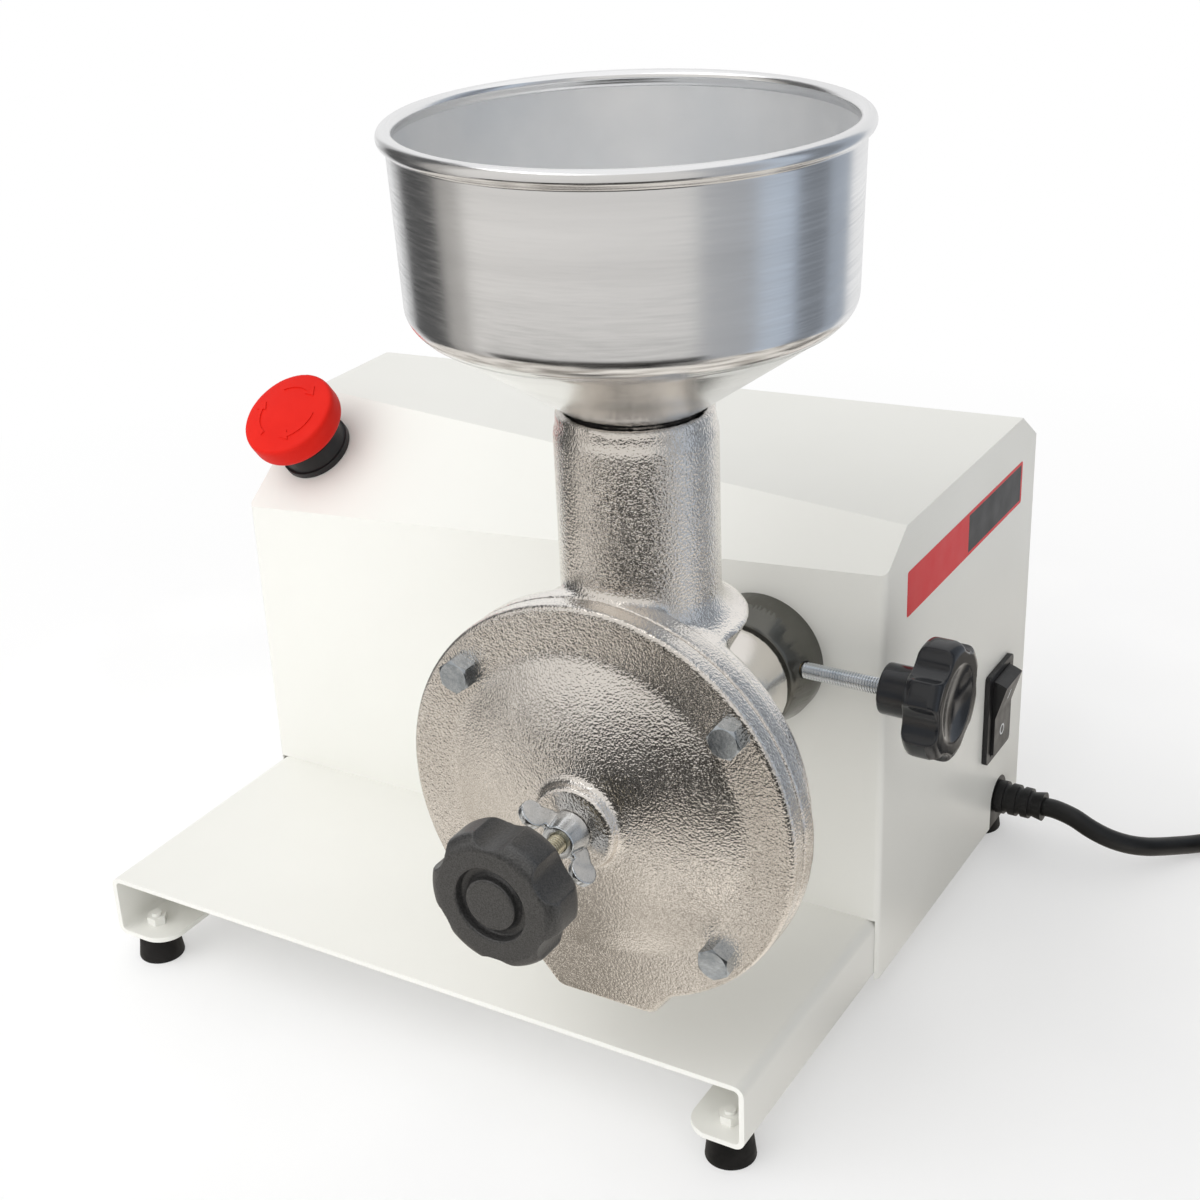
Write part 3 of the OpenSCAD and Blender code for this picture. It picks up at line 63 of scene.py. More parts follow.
# %% Camera
turn, tilt, roll = math.radians(31.477), math.radians(25.204), math.radians(-2.535)
backward = Vector((math.sin(turn) * math.cos(tilt), -math.cos(turn) * math.cos(tilt),
                   math.sin(tilt)))
level = Vector((math.cos(turn), math.sin(turn), 0))
rightward = math.cos(roll) * level + math.sin(roll) * backward.cross(level)
upward = backward.cross(rightward)
camera_data = bpy.data.cameras.new("grinder_camera")
camera_data.sensor_width = 36
camera_data.lens = 58.81
camera = bpy.data.objects.new("grinder_camera", camera_data)
camera.matrix_world = Matrix((rightward, upward, backward)).transposed().to_4x4()
camera.location = Vector((0.37018, -0.58357, 0.45638))
scene.collection.objects.link(camera)
scene.camera = camera
scene.view_settings.view_transform = "Standard"
print("camera lens", camera_data.lens, "at", tuple(round(x, 3) for x in camera.location))

# %% [markdown]
# ## The supply cord
#
# A mains lead of round black rubber leaves the cabinet's right wall, sinks to the table and runs
# off to the back. What the photograph doesn't show is wound into a coil outside the picture. A
# cord could be swept as a mesh, but a curve with a round bevel is shorter to write. Its route is
# a list of points in millimetres, the same ones that the solid model follows. Between the points
# the line is smoothed, because a rubber cord has no corners. The bevel is one metre deep, and
# each point's radius scales it down to the cord's half thickness.

# %% Cord route
cord_across = 7.8
heading = math.radians(45)
along = Vector((math.cos(heading), math.sin(heading), 0))
coil_middle, coil_inner, coil_step, coil_turns = Vector((297, 134, 0)), 33, 8.4, 5
coil_low, coil_layer, coil_tail, points_a_turn = 4.8, 8.3, 52, 48


def coil_point(angle):
    half = 180 * coil_turns
    radius = coil_inner + coil_step * abs(angle - half) / 360
    s = min(1, max(0, (angle - half + 90) / 180))
    way = heading + math.radians(90 - angle)
    height = coil_low + coil_layer * s * s * (3 - 2 * s)
    return coil_middle + Vector((radius * math.cos(way), radius * math.sin(way), height))


coil = [coil_point(360 / points_a_turn * i) for i in range(points_a_turn * coil_turns + 1)]
coil_start = coil[0] - cord_across * along
coil_end = coil[-1] + coil_tail * along
route = [Vector(p) for p in [
    (160, 106, 24), (165, 106, 24), (172.8, 105.4, 22.6), (180.1, 105.2, 19.4),
    (187.4, 106.7, 16.1), (194.2, 110, 13.3), (200.2, 115, 10.9), (205.2, 121.2, 8.8),
    (210, 127.6, 7), (214.8, 133.7, 5.5), (219.8, 139.6, 4.5), (225.3, 145.2, 4),
    (233, 151.5, 4), (241, 157, 4.3)]]
route += [coil_start - cord_across * along, coil_start]
print("points on the coil", len(coil))


# %% Cord line
def smooth_line(points, cuts):
    line = []
    for i in range(len(points) - 1):
        a, b = points[max(i - 1, 0)], points[i]
        c, d = points[i + 1], points[min(i + 2, len(points) - 1)]
        for k in range(cuts):
            t = k / cuts
            line.append(0.5 * (2 * b + (c - a) * t + (2 * a - 5 * b + 4 * c - d) * t * t
                               + (3 * b - a - 3 * c + d) * t ** 3))
    return line + [points[-1]]


cord_line = smooth_line(route, 4) + coil + [coil_end - coil_tail / 2 * along, coil_end]
cord_line = [p * MM for p in cord_line]

# %% [markdown]
# ## The strap round the coil
#
# A rubber strap keeps the coil together. A plain ring would stand off from the turns. So in each
# direction the strap keeps a hair's breadth from whichever turn reaches out furthest, as a tight
# band does. Meshes that are built point by point become objects in the same few steps each time,
# so one helper does that for the whole lesson.


# %% Mesh helper
def piece_from(mesh, name, smooth=False):
    bmesh.ops.recalc_face_normals(mesh, faces=mesh.faces)
    data = bpy.data.meshes.new(name)
    mesh.to_mesh(data)
    mesh.free()
    data.polygons.foreach_set("use_smooth", [smooth] * len(data.polygons))
    piece = bpy.data.objects.new(name, data)
    scene.collection.objects.link(piece)
    return piece


print("mesh helper ready")

# %% Strap
strap_at, strap_steps = 130, 64
strap_half, strap_gap, strap_thick = 3.0, 0.1, 0.7
strap_way = heading + math.radians(90 - strap_at)
outward = Vector((math.cos(strap_way), math.sin(strap_way), 0))
crossing = Vector((-outward.y, outward.x, 0))
passes = [coil_point(strap_at + 360 * i) - coil_middle for i in range(coil_turns)]
passes = [(p.dot(outward), p.z) for p in passes]
strap_mesh = bmesh.new()
strap_rings = []
under, over = strap_gap, strap_gap + strap_thick
for across, lift in ((-1, under), (-1, over), (1, over), (1, under)):
    ring = []
    for i in range(strap_steps):
        way = 2 * math.pi * i / strap_steps
        u, v = math.cos(way), math.sin(way)
        r, z = max(passes, key=lambda p: p[0] * u + p[1] * v)
        r, z = r + u * (cord_across / 2 + lift), z + v * (cord_across / 2 + lift)
        place = coil_middle + outward * r + crossing * across * strap_half + Vector((0, 0, z))
        ring.append(strap_mesh.verts.new(place * MM))
    strap_rings.append(ring)
for a, b in zip(strap_rings, strap_rings[1:] + strap_rings[:1]):
    for i in range(strap_steps):
        after = (i + 1) % strap_steps
        strap_mesh.faces.new((a[i], a[after], b[after], b[i]))
coil_strap = piece_from(strap_mesh, "coil_strap")
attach(coil_strap, "cabinet")
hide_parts("cord_tie")
print("strap round", len(passes), "turns of the coil")

# %% Cord curve
cord_data = bpy.data.curves.new("mains_cord", "CURVE")
cord_data.dimensions = "3D"
cord_data.bevel_depth = 1.0
cord_data.bevel_resolution = 5
cord_data.use_fill_caps = True
strand = cord_data.splines.new("POLY")
strand.points.add(len(cord_line) - 1)
for point, place in zip(strand.points, cord_line):
    point.co = (*place, 1)
    point.radius = cord_across / 2 * MM
strand.use_smooth = True
mains_cord = bpy.data.objects.new("mains_cord", cord_data)
scene.collection.objects.link(mains_cord)
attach(mains_cord, "cabinet")
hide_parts("supply_cord", "cord_coil")
print("points on the cord", len(cord_line))

# %% [markdown]
# ## The light
#
# A white surround, as for a catalogue picture. It is full white where the camera, a mirror-like
# metal or glass looks at it. For matt surfaces it is a wide soft light instead: bright at the
# left, front and top, and dim at the right, so that the right wall falls into a soft shade and no
# hard shadow is thrown. A smaller soft patch at the front right lifts the shade behind the
# grinding head. A ring of lamps could do the same, but two soft patches in one surround leave
# fewer things to balance. A large lamp adds a little direction.

# %% Surround
world = bpy.data.worlds.new("studio_surround")
scene.world = world
world.use_nodes = True
sky = world.node_tree.nodes["Background"]
add_node = world.node_tree.nodes.new
wire = world.node_tree.links.new
toward = add_node("ShaderNodeTexCoord")


def soft_patch(direction, start, end, low, high):
    near = add_node("ShaderNodeVectorMath")
    near.operation = "DOT_PRODUCT"
    near.inputs[1].default_value = Vector(direction).normalized()
    fade = add_node("ShaderNodeMapRange")
    fade.interpolation_type = "SMOOTHSTEP"
    for key, value in {"From Min": start, "From Max": end, "To Min": low, "To Max": high}.items():
        fade.inputs[key].default_value = value
    wire(toward.outputs["Generated"], near.inputs[0])
    wire(near.outputs["Value"], fade.inputs["Value"])
    return fade.outputs["Result"]


def joined(operation, first, second):
    sum_node = add_node("ShaderNodeMath")
    sum_node.operation = operation
    wire(first, sum_node.inputs[0])
    wire(second, sum_node.inputs[1])
    return sum_node.outputs[0]


left_light = soft_patch((-0.58, -0.50, 0.64), -0.55, 0.75, 0.13, 0.99)
front_light = soft_patch((0.44, -0.85, 0.29), 0.50, 0.95, 0.0, 0.55)
ray = add_node("ShaderNodeLightPath").outputs
plain_view = joined("MAXIMUM", ray["Is Camera Ray"], ray["Is Glossy Ray"])
plain_view = joined("MAXIMUM", plain_view, ray["Is Transmission Ray"])
level_of = add_node("ShaderNodeMapRange")
wire(joined("ADD", left_light, front_light), level_of.inputs["To Min"])
wire(plain_view, level_of.inputs["Value"])
wire(level_of.outputs["Result"], sky.inputs["Strength"])
sky.inputs["Color"].default_value = (1, 1, 1, 1)
print("surround made")


# %% Lamp
def soft_lamp(name, place, aim, size, watts):
    data = bpy.data.lights.new(name, "AREA")
    data.shape = "SQUARE"
    data.size = size
    data.energy = watts
    lamp = bpy.data.objects.new(name, data)
    lamp.location = place
    lamp.rotation_euler = (Vector(aim) - Vector(place)).to_track_quat("-Z", "Y").to_euler()
    scene.collection.objects.link(lamp)


middle = Vector((0.0, -0.03, 0.12))
soft_lamp("key_lamp", (-1.0, -1.6, 2.0), middle, 2.2, 20)
print("lamp made")

# %% [markdown]
# ## The table and the papers round it
#
# The machine stands on a white table. Polished metal shows what is round it, so a paper tent, a
# paper mat, a dark skirt, a dark runner and a dark card stand about, and only shiny surfaces can
# see them. The grey stripes of the tent become the bands on the hopper. Mat and skirt become the
# light and dark of the casting. The runner in front becomes the dark band down the feed tube, and
# the card the dark patch on the dome. Such bands could be painted on the metal, but they would
# then be wrong from every other side.


# %% Stage helper
def stage_piece(name, corners, faces, place=(0, 0, 0), mirrors_only=False):
    mesh = bpy.data.meshes.new(name)
    mesh.from_pydata(corners, [], faces)
    piece = bpy.data.objects.new(name, mesh)
    piece.location = place
    scene.collection.objects.link(piece)
    if mirrors_only:
        piece.visible_camera = False
        piece.visible_diffuse = False
        piece.visible_shadow = False
        piece.visible_transmission = False
    return piece


table_half = 6
table_corners = [(-table_half, -table_half, 0), (table_half, -table_half, 0),
                 (table_half, table_half, 0), (-table_half, table_half, 0)]
table = stage_piece("white_table", table_corners, [(0, 1, 2, 3)])
print("table", 2 * table_half, "m wide")

# %% Tent, skirt, runner, card and mat
tent_r, tent_h, tent_at, tent_sides = 0.47, 0.9, (0.06, -0.06, 0.001), 72
skirt_r, skirt_h = tent_r - 0.01, 0.135
runner_r, runner_z = 0.33, 0.001
card_r, card_low, card_high = 0.30, 0.105, 0.185


def paper_round(name, low, high, sides):
    ways = [math.radians(360 / tent_sides * i - 90) for i in sides]
    corners = [(r * math.cos(a), r * math.sin(a), z) for r, z in (low, high) for a in ways]
    count = len(ways)
    faces = [(i, i + 1, count + i + 1, count + i) for i in range(count - 1)]
    return stage_piece(name, corners, faces, tent_at, True)


tent = paper_round("paper_tent", (tent_r, 0), (tent_r, tent_h), range(tent_sides + 1))
skirt = paper_round("dark_skirt", (skirt_r, 0), (skirt_r, skirt_h), range(-7, 13))
runner = paper_round("dark_runner", (runner_r, runner_z), (skirt_r, runner_z), range(1, 14))
card = paper_round("dark_card", (card_r, card_low), (card_r, card_high), range(-1, 9))
mat_ways = [2 * math.pi * i / tent_sides for i in range(tent_sides)]
mat = stage_piece("paper_mat", [(tent_r * math.cos(a), tent_r * math.sin(a), 0) for a in mat_ways],
                  [tuple(range(tent_sides))], tent_at, True)
print("papers: tent, skirt, runner, card and mat")

# %% [markdown]
# ## A way to make finishes
#
# Every finish here is a Principled surface whose colour, roughness and bump come from noise in
# the machine's own millimetres. Pictures could be wrapped round the pieces instead, but they need
# unwrapping and show seams, and noise has none. One helper wires it up. Real paint, castings and
# mouldings are never one flat colour: two close colours are mixed by a slow noise, the roughness
# wanders a little, and a fine noise makes the grain. Values that are the same all over are set on
# the surface's own sockets.


# %% Finish helper
class Finish:
    def __init__(self, name):
        self.material = bpy.data.materials.new(name)
        self.material.use_nodes = True
        self.tree = self.material.node_tree
        self.skin = self.tree.nodes["Principled BSDF"]
        self.place = self.node("ShaderNodeTexCoord").outputs["Object"]

    def node(self, kind, **inputs):
        made = self.tree.nodes.new(kind)
        for key, value in inputs.items():
            self.feed(value, made.inputs[key.replace("_", " ")])
        return made

    def feed(self, value, socket):
        if isinstance(value, bpy.types.NodeSocket):
            self.tree.links.new(value, socket)
        else:
            socket.default_value = value

    def reckon(self, kind, operation, *values):
        made = self.node(kind)
        made.operation = operation
        for value, socket in zip(values, made.inputs):
            self.feed(value, socket)
        return made.outputs

    def noise(self, scale, detail=3.0, where=None):
        made = self.node("ShaderNodeTexNoise", Scale=scale, Detail=detail,
                         Vector=where or self.place)
        return made.outputs["Fac"]

    def spread(self, value, low, high, start=0.3, end=0.7):
        made = self.node("ShaderNodeMapRange", Value=value, From_Min=start, From_Max=end,
                         To_Min=low, To_Max=high)
        return made.outputs["Result"]

    def colours(self, value, first, second, start=0.35, end=0.65):
        ramp = self.node("ShaderNodeValToRGB", Fac=value)
        ramp.color_ramp.elements[0].position = start
        ramp.color_ramp.elements[1].position = end
        ramp.color_ramp.elements[0].color = (*first, 1)
        ramp.color_ramp.elements[1].color = (*second, 1)
        self.feed(ramp.outputs["Color"], self.skin.inputs["Base Color"])

    def bump(self, height, depth, strength=1.0, below=None):
        made = self.node("ShaderNodeBump", Height=height, Strength=strength, Distance=depth * MM)
        if below is not None:
            self.feed(below, made.inputs["Normal"])
        self.feed(made.outputs["Normal"], self.skin.inputs["Normal"])
        return made.outputs["Normal"]

    def set(self, **values):
        for key, value in values.items():
            self.feed(value, self.skin.inputs[key.replace("_", " ")])
        return self.material


print("finish helper ready")


# %% Grained finish
def grained(name, first, second, rough, grain, depth, metal=0.0, patch=40.0, shine=0.5):
    finish = Finish(name)
    finish.colours(finish.noise(patch), first, second)
    finish.bump(finish.noise(grain, 2.0), depth)
    wander = finish.spread(finish.noise(patch * 3), *rough)
    return finish.set(Roughness=wander, Metallic=metal, Specular_IOR_Level=shine)


print("grained finish ready")

# %% [markdown]
# ## Powder-coated sheet
#
# The cabinet and the tray are folded sheet steel with an off-white powder coat. Baked powder
# flows into a very fine orange peel, about a millimetre and a half from bump to bump, and it has
# a soft satin gloss. The peel is far too fine to model, so two layers of bump make it.

# %% Powder coat
powder = Finish("ivory_powder_coat")
powder.colours(powder.noise(9.0, 4.0), (0.815, 0.812, 0.768), (0.835, 0.832, 0.790))
peel = powder.bump(powder.noise(620.0, 1.0), 0.05, 0.5)
powder.bump(powder.noise(2600.0, 1.0), 0.01, 0.4, peel)
ivory_powder_coat = powder.set(Roughness=powder.spread(powder.noise(30.0), 0.30, 0.40))
print("finish", ivory_powder_coat.name)

# %% [markdown]
# ## Tinned castings
#
# The grinding head is cast iron dipped in tin. The sand leaves a pebbled skin and the tin runs
# over it, so it is bright like a mirror but broken into small soft facets. More roughness would
# only blur the mirror, so the pebbles are a bump: a fine noise makes them, a slower one makes the
# places where the skin is smoother, and the colour drifts between warm and cool grey. The neck
# behind the cone is turned to fit the socket, so the pebbles fade out there.

# %% Tinned casting
cone_end, neck_from = -0.083, -0.077
tin = Finish("tinned_casting")
tin.colours(tin.noise(14.0, 4.0), (0.78, 0.74, 0.69), (0.92, 0.885, 0.845))
depth_in = tin.node("ShaderNodeSeparateXYZ", Vector=tin.place).outputs["Y"]
as_cast = tin.spread(depth_in, 1.0, 0.04, cone_end, neck_from)
pebbles = tin.bump(tin.noise(1300.0, 1.0), 0.26, as_cast)
tin.bump(tin.noise(520.0, 1.0), 0.06, 0.5, pebbles)
tinned_casting = tin.set(Roughness=tin.spread(tin.noise(60.0), 0.13, 0.22), Metallic=1.0)
print("finish", tinned_casting.name)

# %% [markdown]
# ## Spun aluminium
#
# The hopper is spun from sheet on a lathe and polished as it turns, so its marks all run round
# the axis. The noise is read in turned coordinates: distance from the axis, height and a slow
# angle. That stretches the scratches into rings. Anisotropy then pulls the highlights across
# them, as on any spun pot. The inside is scoured by the beans, so it is paler and much duller
# than the outside.

# %% Turned coordinates
hopper_low, hopper_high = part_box("hopper")
hopper_axis = (hopper_low + hopper_high) / 2
slow_turn = 0.004
spun = Finish("spun_aluminium")
height_up = spun.node("ShaderNodeSeparateXYZ", Vector=spun.place).outputs["Z"]
from_axis = spun.reckon("ShaderNodeVectorMath", "SUBTRACT", spun.place,
                        (hopper_axis.x, hopper_axis.y, 0))[0]
flattened = spun.reckon("ShaderNodeVectorMath", "MULTIPLY", from_axis, (1, 1, 0))[0]
reach = spun.reckon("ShaderNodeVectorMath", "LENGTH", flattened)["Value"]
facing = spun.reckon("ShaderNodeVectorMath", "NORMALIZE", flattened)[0]
sideways = spun.node("ShaderNodeSeparateXYZ", Vector=facing).outputs["X"]
slow = spun.reckon("ShaderNodeMath", "MULTIPLY", sideways, slow_turn)[0]
turned = spun.node("ShaderNodeCombineXYZ", X=reach, Y=slow, Z=height_up).outputs[0]
print("hopper axis at", round(hopper_axis.x, 4), round(hopper_axis.y, 4))

# %% Spun and scoured aluminium
rings = spun.noise(1500.0, 4.0, turned)
bands = spun.noise(90.0, 2.0, turned)
spun.colours(bands, (0.80, 0.80, 0.805), (0.88, 0.88, 0.885))
spun.bump(rings, 0.012, 0.35)
around = spun.node("ShaderNodeTangent")
around.direction_type = "RADIAL"
around.axis = "Z"
spun_aluminium = spun.set(Roughness=spun.spread(rings, 0.14, 0.26), Metallic=1.0,
                          Anisotropic=0.45, Tangent=around.outputs[0])
scoured_aluminium = grained("scoured_aluminium", (0.86, 0.87, 0.88), (0.93, 0.93, 0.93),
                            (0.40, 0.52), grain=600.0, depth=0.03, metal=1.0, patch=30.0)
print("finishes", spun_aluminium.name, scoured_aluminium.name)

# %% [markdown]
# ## Small metal finishes
#
# Bolts and the wing nut are zinc plated, a cool grey with faint blue. The bolts on the cover get a
# darker copy of that zinc, which is painted shade. The adjusting screw has the yellow passivation
# that cheap threaded rod comes with. Inside sit ground shafts, machined iron and bronze. These
# differ only in colour, roughness and grain, so the one helper is enough.

# %% Plated and plain metals
zinc_plate = grained("zinc_plate", (0.60, 0.635, 0.67), (0.76, 0.78, 0.80), (0.12, 0.24),
                     grain=900.0, depth=0.03, metal=1.0, patch=120.0)
# Cover bolts: a darker copy of the zinc, painted shade that sets their faces off from the casting.
shaded_bolt_zinc = grained("shaded_bolt_zinc", (0.40, 0.44, 0.48), (0.52, 0.56, 0.60), (0.16, 0.26),
                    grain=900.0, depth=0.03, metal=1.0, patch=300.0)
yellow_zinc = grained("yellow_zinc", (0.62, 0.56, 0.40), (0.74, 0.70, 0.56), (0.24, 0.36),
                      grain=900.0, depth=0.03, metal=1.0, patch=200.0)
ground_steel = grained("ground_steel", (0.50, 0.50, 0.51), (0.60, 0.60, 0.60), (0.22, 0.32),
                       grain=1400.0, depth=0.01, metal=1.0, patch=80.0)
machined_iron = grained("machined_iron", (0.30, 0.30, 0.31), (0.42, 0.42, 0.42), (0.35, 0.5),
                        grain=700.0, depth=0.05, metal=1.0, patch=60.0)
bell_aluminium = grained("bell_aluminium", (0.60, 0.61, 0.62), (0.72, 0.72, 0.73), (0.35, 0.5),
                         grain=500.0, depth=0.10, metal=1.0, patch=60.0)
bush_bronze = grained("bush_bronze", (0.50, 0.34, 0.16), (0.62, 0.46, 0.24), (0.28, 0.4),
                      grain=800.0, depth=0.03, metal=1.0, patch=90.0)
print("metal finishes made")

# %% [markdown]
# ## Paints, mouldings and rubber
#
# The socket has a dark brown-grey paint with a soft metallic shine. The front knob is
# spark-eroded nylon, speckled and grainy, and the clamp knob is polished phenolic, nearly black
# glass. Feet and cord are rubber. Black pieces differ more in shine than in colour, so each has
# its own roughness, and the dullest also mirror less.

# %% Paints
socket_paint = grained("socket_paint", (0.120, 0.118, 0.105), (0.165, 0.162, 0.145), (0.14, 0.24),
                       grain=300.0, depth=0.06, metal=0.75, patch=30.0)
frame_paint = grained("frame_paint", (0.050, 0.052, 0.055), (0.075, 0.078, 0.080), (0.4, 0.55),
                      grain=600.0, depth=0.05)
motor_paint = grained("motor_paint", (0.075, 0.115, 0.150), (0.110, 0.150, 0.185), (0.35, 0.5),
                      grain=500.0, depth=0.06)
print("paints made")

# %% Mouldings and rubber
grained_nylon = grained("grained_nylon", (0.008, 0.008, 0.008), (0.048, 0.047, 0.046),
                        (0.34, 0.44), grain=1500.0, depth=0.10, patch=2200.0, shine=1.0)
black_phenolic = grained("black_phenolic", (0.010, 0.011, 0.013), (0.016, 0.017, 0.020),
                         (0.10, 0.20), grain=300.0, depth=0.02, patch=25.0)
stop_red = grained("stop_red", (0.66, 0.010, 0.005), (0.73, 0.016, 0.008), (0.42, 0.54),
                   grain=900.0, depth=0.03, shine=0.1)
black_moulding = grained("black_moulding", (0.006, 0.006, 0.007), (0.013, 0.013, 0.014),
                         (0.30, 0.45), grain=1100.0, depth=0.04, patch=60.0, shine=0.4)
foot_rubber = grained("foot_rubber", (0.004, 0.004, 0.004), (0.011, 0.010, 0.010), (0.55, 0.75),
                      grain=800.0, depth=0.08, patch=80.0, shine=0.25)
cord_rubber = grained("cord_rubber", (0.005, 0.005, 0.005), (0.011, 0.011, 0.011), (0.36, 0.50),
                      grain=900.0, depth=0.05, patch=50.0, shine=0.35)
belt_rubber = grained("belt_rubber", (0.012, 0.012, 0.012), (0.026, 0.026, 0.026), (0.6, 0.8),
                      grain=700.0, depth=0.10)
white_moulding = grained("white_moulding", (0.66, 0.64, 0.58), (0.74, 0.72, 0.66), (0.35, 0.5),
                         grain=900.0, depth=0.04)
print("moulding and rubber finishes made")

# %% [markdown]
# ## Finishes of the stage
#
# The table is matt white near the machine, where it catches the shadow, and turns into a plain
# white glow further away, so that the picture's background is even. Near the machine the camera
# already sees about a third of that glow: painted light that lifts the table's shadow. The papers
# glow by themselves, so they look the same wherever the lamp stands. Each stop of a paper is a
# place, a grey and a warmth, and the tent's places are angles counted from the front towards the
# right.

# %% Table top
shadow_ends, white_from = 0.22, 0.70
linen = Finish("white_table_top")
linen.colours(linen.noise(3.0), (0.93, 0.93, 0.93), (0.95, 0.95, 0.95))
linen.set(Roughness=0.9)
away = linen.reckon("ShaderNodeVectorMath", "LENGTH", linen.place)["Value"]
even_white = linen.node("ShaderNodeEmission", Color=(1, 1, 1, 1), Strength=1.0)
camera_ray = linen.node("ShaderNodeLightPath").outputs["Is Camera Ray"]
# Camera rays see a share of the white glow everywhere: 35 % next to the machine, which is painted
# light lifting the table's shadow, rising to all of it far away.
seen = linen.reckon("ShaderNodeMath", "MULTIPLY", camera_ray,
                    linen.spread(away, 0.35, 1.0, shadow_ends, white_from))[0]
join = linen.node("ShaderNodeMixShader", Fac=seen)
linen.feed(linen.skin.outputs[0], join.inputs[1])
linen.feed(even_white.outputs[0], join.inputs[2])
linen.feed(join.outputs[0], linen.tree.nodes["Material Output"].inputs["Surface"])
table.data.materials.append(linen.material)
print("finish", linen.material.name)


# %% Paper helper
def glowing_paper(name, piece, stops, value_of):
    paper = Finish(name)
    ramp = paper.node("ShaderNodeValToRGB", Fac=value_of(paper))
    points = ramp.color_ramp.elements
    while len(points) < len(stops):
        points.new(0.5)
    for point, (at, grey, warm) in zip(points, stops):
        point.position = at
        point.color = (grey * (1 + 0.10 * warm), grey, grey * (1 - 0.14 * warm), 1)
    glow = paper.node("ShaderNodeEmission", Color=ramp.outputs["Color"], Strength=1.0)
    paper.feed(glow.outputs[0], paper.tree.nodes["Material Output"].inputs["Surface"])
    piece.data.materials.append(paper.material)


def around_tent(paper):
    sweep = paper.node("ShaderNodeTexGradient", Vector=paper.place)
    sweep.gradient_type = "RADIAL"
    return sweep.outputs["Fac"]


def cloudy(scale):
    return lambda paper: paper.noise(scale, 1.0)


print("paper helper ready")

# %% Papers
stripes = [(-91, 0.08, 0), (-62, 0.08, 0), (-58, 0.40, 0.4), (-46, 0.40, 0.4), (-40, 0.72, 0.3),
           (54, 0.68, 0.2), (60, 0.44, -0.2), (80, 0.40, -0.3), (86, 0.56, -1), (102, 0.56, -1.2),
           (106, 0.22, -0.8), (125, 0.22, -0.8), (129, 0.42, -1), (147, 0.42, -1), (151, 0.9, 0),
           (250, 0.9, 0), (255, 0.6, 0), (262, 0.6, 0), (265, 0.08, 0), (269, 0.08, 0)]
tent_stops = sorted(((angle / 360 + 0.25) % 1, grey, warm) for angle, grey, warm in stripes)
mat_stops = [(0.36, 0.22, 0.8), (0.45, 0.46, 0.8), (0.52, 0.74, 0.6), (0.60, 0.94, 0.5)]
glowing_paper("striped_paper", tent, tent_stops, around_tent)
glowing_paper("mottled_paper", mat, mat_stops, cloudy(11.0))
glowing_paper("dark_paper", skirt, [(0.35, 0.012, 0.5), (0.65, 0.05, 0.5)], cloudy(12.0))
glowing_paper("black_paper", card, [(0.35, 0.010, 0.5), (0.65, 0.06, 0.5)], cloudy(20.0))
glowing_paper("spotted_paper", runner, [(0.40, 0.02, 0.3), (0.66, 0.34, 0.3)], cloudy(16.0))
print("stage finishes made")

# %% [markdown]
# ## Dressing the solid pieces
#
# Most solid pieces already have the right shape. They need three things: their finish, smooth
# shading and edges that catch the light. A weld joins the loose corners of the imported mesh, flat
# triangles are merged into whole faces, a small bevel rounds every edge sharper than thirty
# degrees, and weighted normals keep the flat faces flat. These are modifiers, so the solids
# themselves stay as they are. Bolts get no bevel: their chamfers are solid already, so their
# edges are only kept crisp.


# %% Dress helper
def dress(names, finish, edge=0.3):
    for name in names.split():
        piece = nodes[name]
        piece.data.materials.clear()
        piece.data.materials.append(finish)
        piece.data.polygons.foreach_set("use_smooth", [True] * len(piece.data.polygons))
        weld = piece.modifiers.new("join_corners", "WELD")
        weld.merge_threshold = 1e-6
        plain = piece.modifiers.new("plain_faces", "DECIMATE")
        plain.decimate_type = "DISSOLVE"
        plain.angle_limit = math.radians(0.4)
        if edge:
            soften = piece.modifiers.new("soft_edges", "BEVEL")
            soften.width = edge * MM
            soften.segments = 2
            soften.limit_method = "ANGLE"
            soften.angle_limit = math.radians(30)
            soften.use_clamp_overlap = True
            piece.modifiers.new("flat_faces", "WEIGHTED_NORMAL").keep_sharp = True
        else:
            piece.modifiers.new("crisp_edges", "EDGE_SPLIT").split_angle = math.radians(24)


print("dress helper ready")

# %% Dressed pieces
dress("base_tray cabinet_hood rear_panel", ivory_powder_coat, 0.6)
dress("foot_screws foot_nuts", ivory_powder_coat, 0)
dress("socket_collar", socket_paint, 0.5)
dress("rubber_feet", foot_rubber, 0.5)
dress("hood_screws rear_screws bracket_bolts saddle_bolts pulley_bolt burr_screws burr_pin",
      zinc_plate, 0)
dress("cover_bolts", shaded_bolt_zinc, 0)
dress("capacitor_clip motor_band", zinc_plate)
dress("spindle_bracket motor_saddle collar_nut", frame_paint, 0.4)
dress("spindle_bearings motor_bearings drive_spindle motor_shaft auger_shaft thrust_pad",
      ground_steel)
dress("driven_pulley motor_pulley fixed_burr rotating_burr", machined_iron)
dress("feed_auger", machined_iron, 0)
dress("drive_belt", belt_rubber)
dress("motor_can", motor_paint, 0.5)
dress("motor_front_bell motor_rear_bell", bell_aluminium, 0.5)
dress("run_capacitor terminal_block stop_contacts", white_moulding, 0.4)
dress("auger_bush clamp_tip", bush_bronze, 0.2)
dress("stop_collar stop_nut stop_plunger switch_housing rocker", black_moulding)
dress("strain_relief power_plug", cord_rubber)
mains_cord.data.materials.append(cord_rubber)
coil_strap.data.materials.append(cord_rubber)
print("dressed pieces:", sum(1 for n in nodes.values() if n.modifiers))

# %% [markdown]
# ## Castings and mouldings
#
# A casting has no sharp corners: every inside corner is a fillet and every outside edge is
# rounded. Instead of drawing each fillet, a copy of the solid is turned into small even voxels
# and relaxed a few times, which is close to what sand and molten metal do. The same trick rounds
# the moulded knobs, the red head and the wing nut. The front knob first gets a wide ring groove:
# a ring is turned round its axis and cut away from the copy.


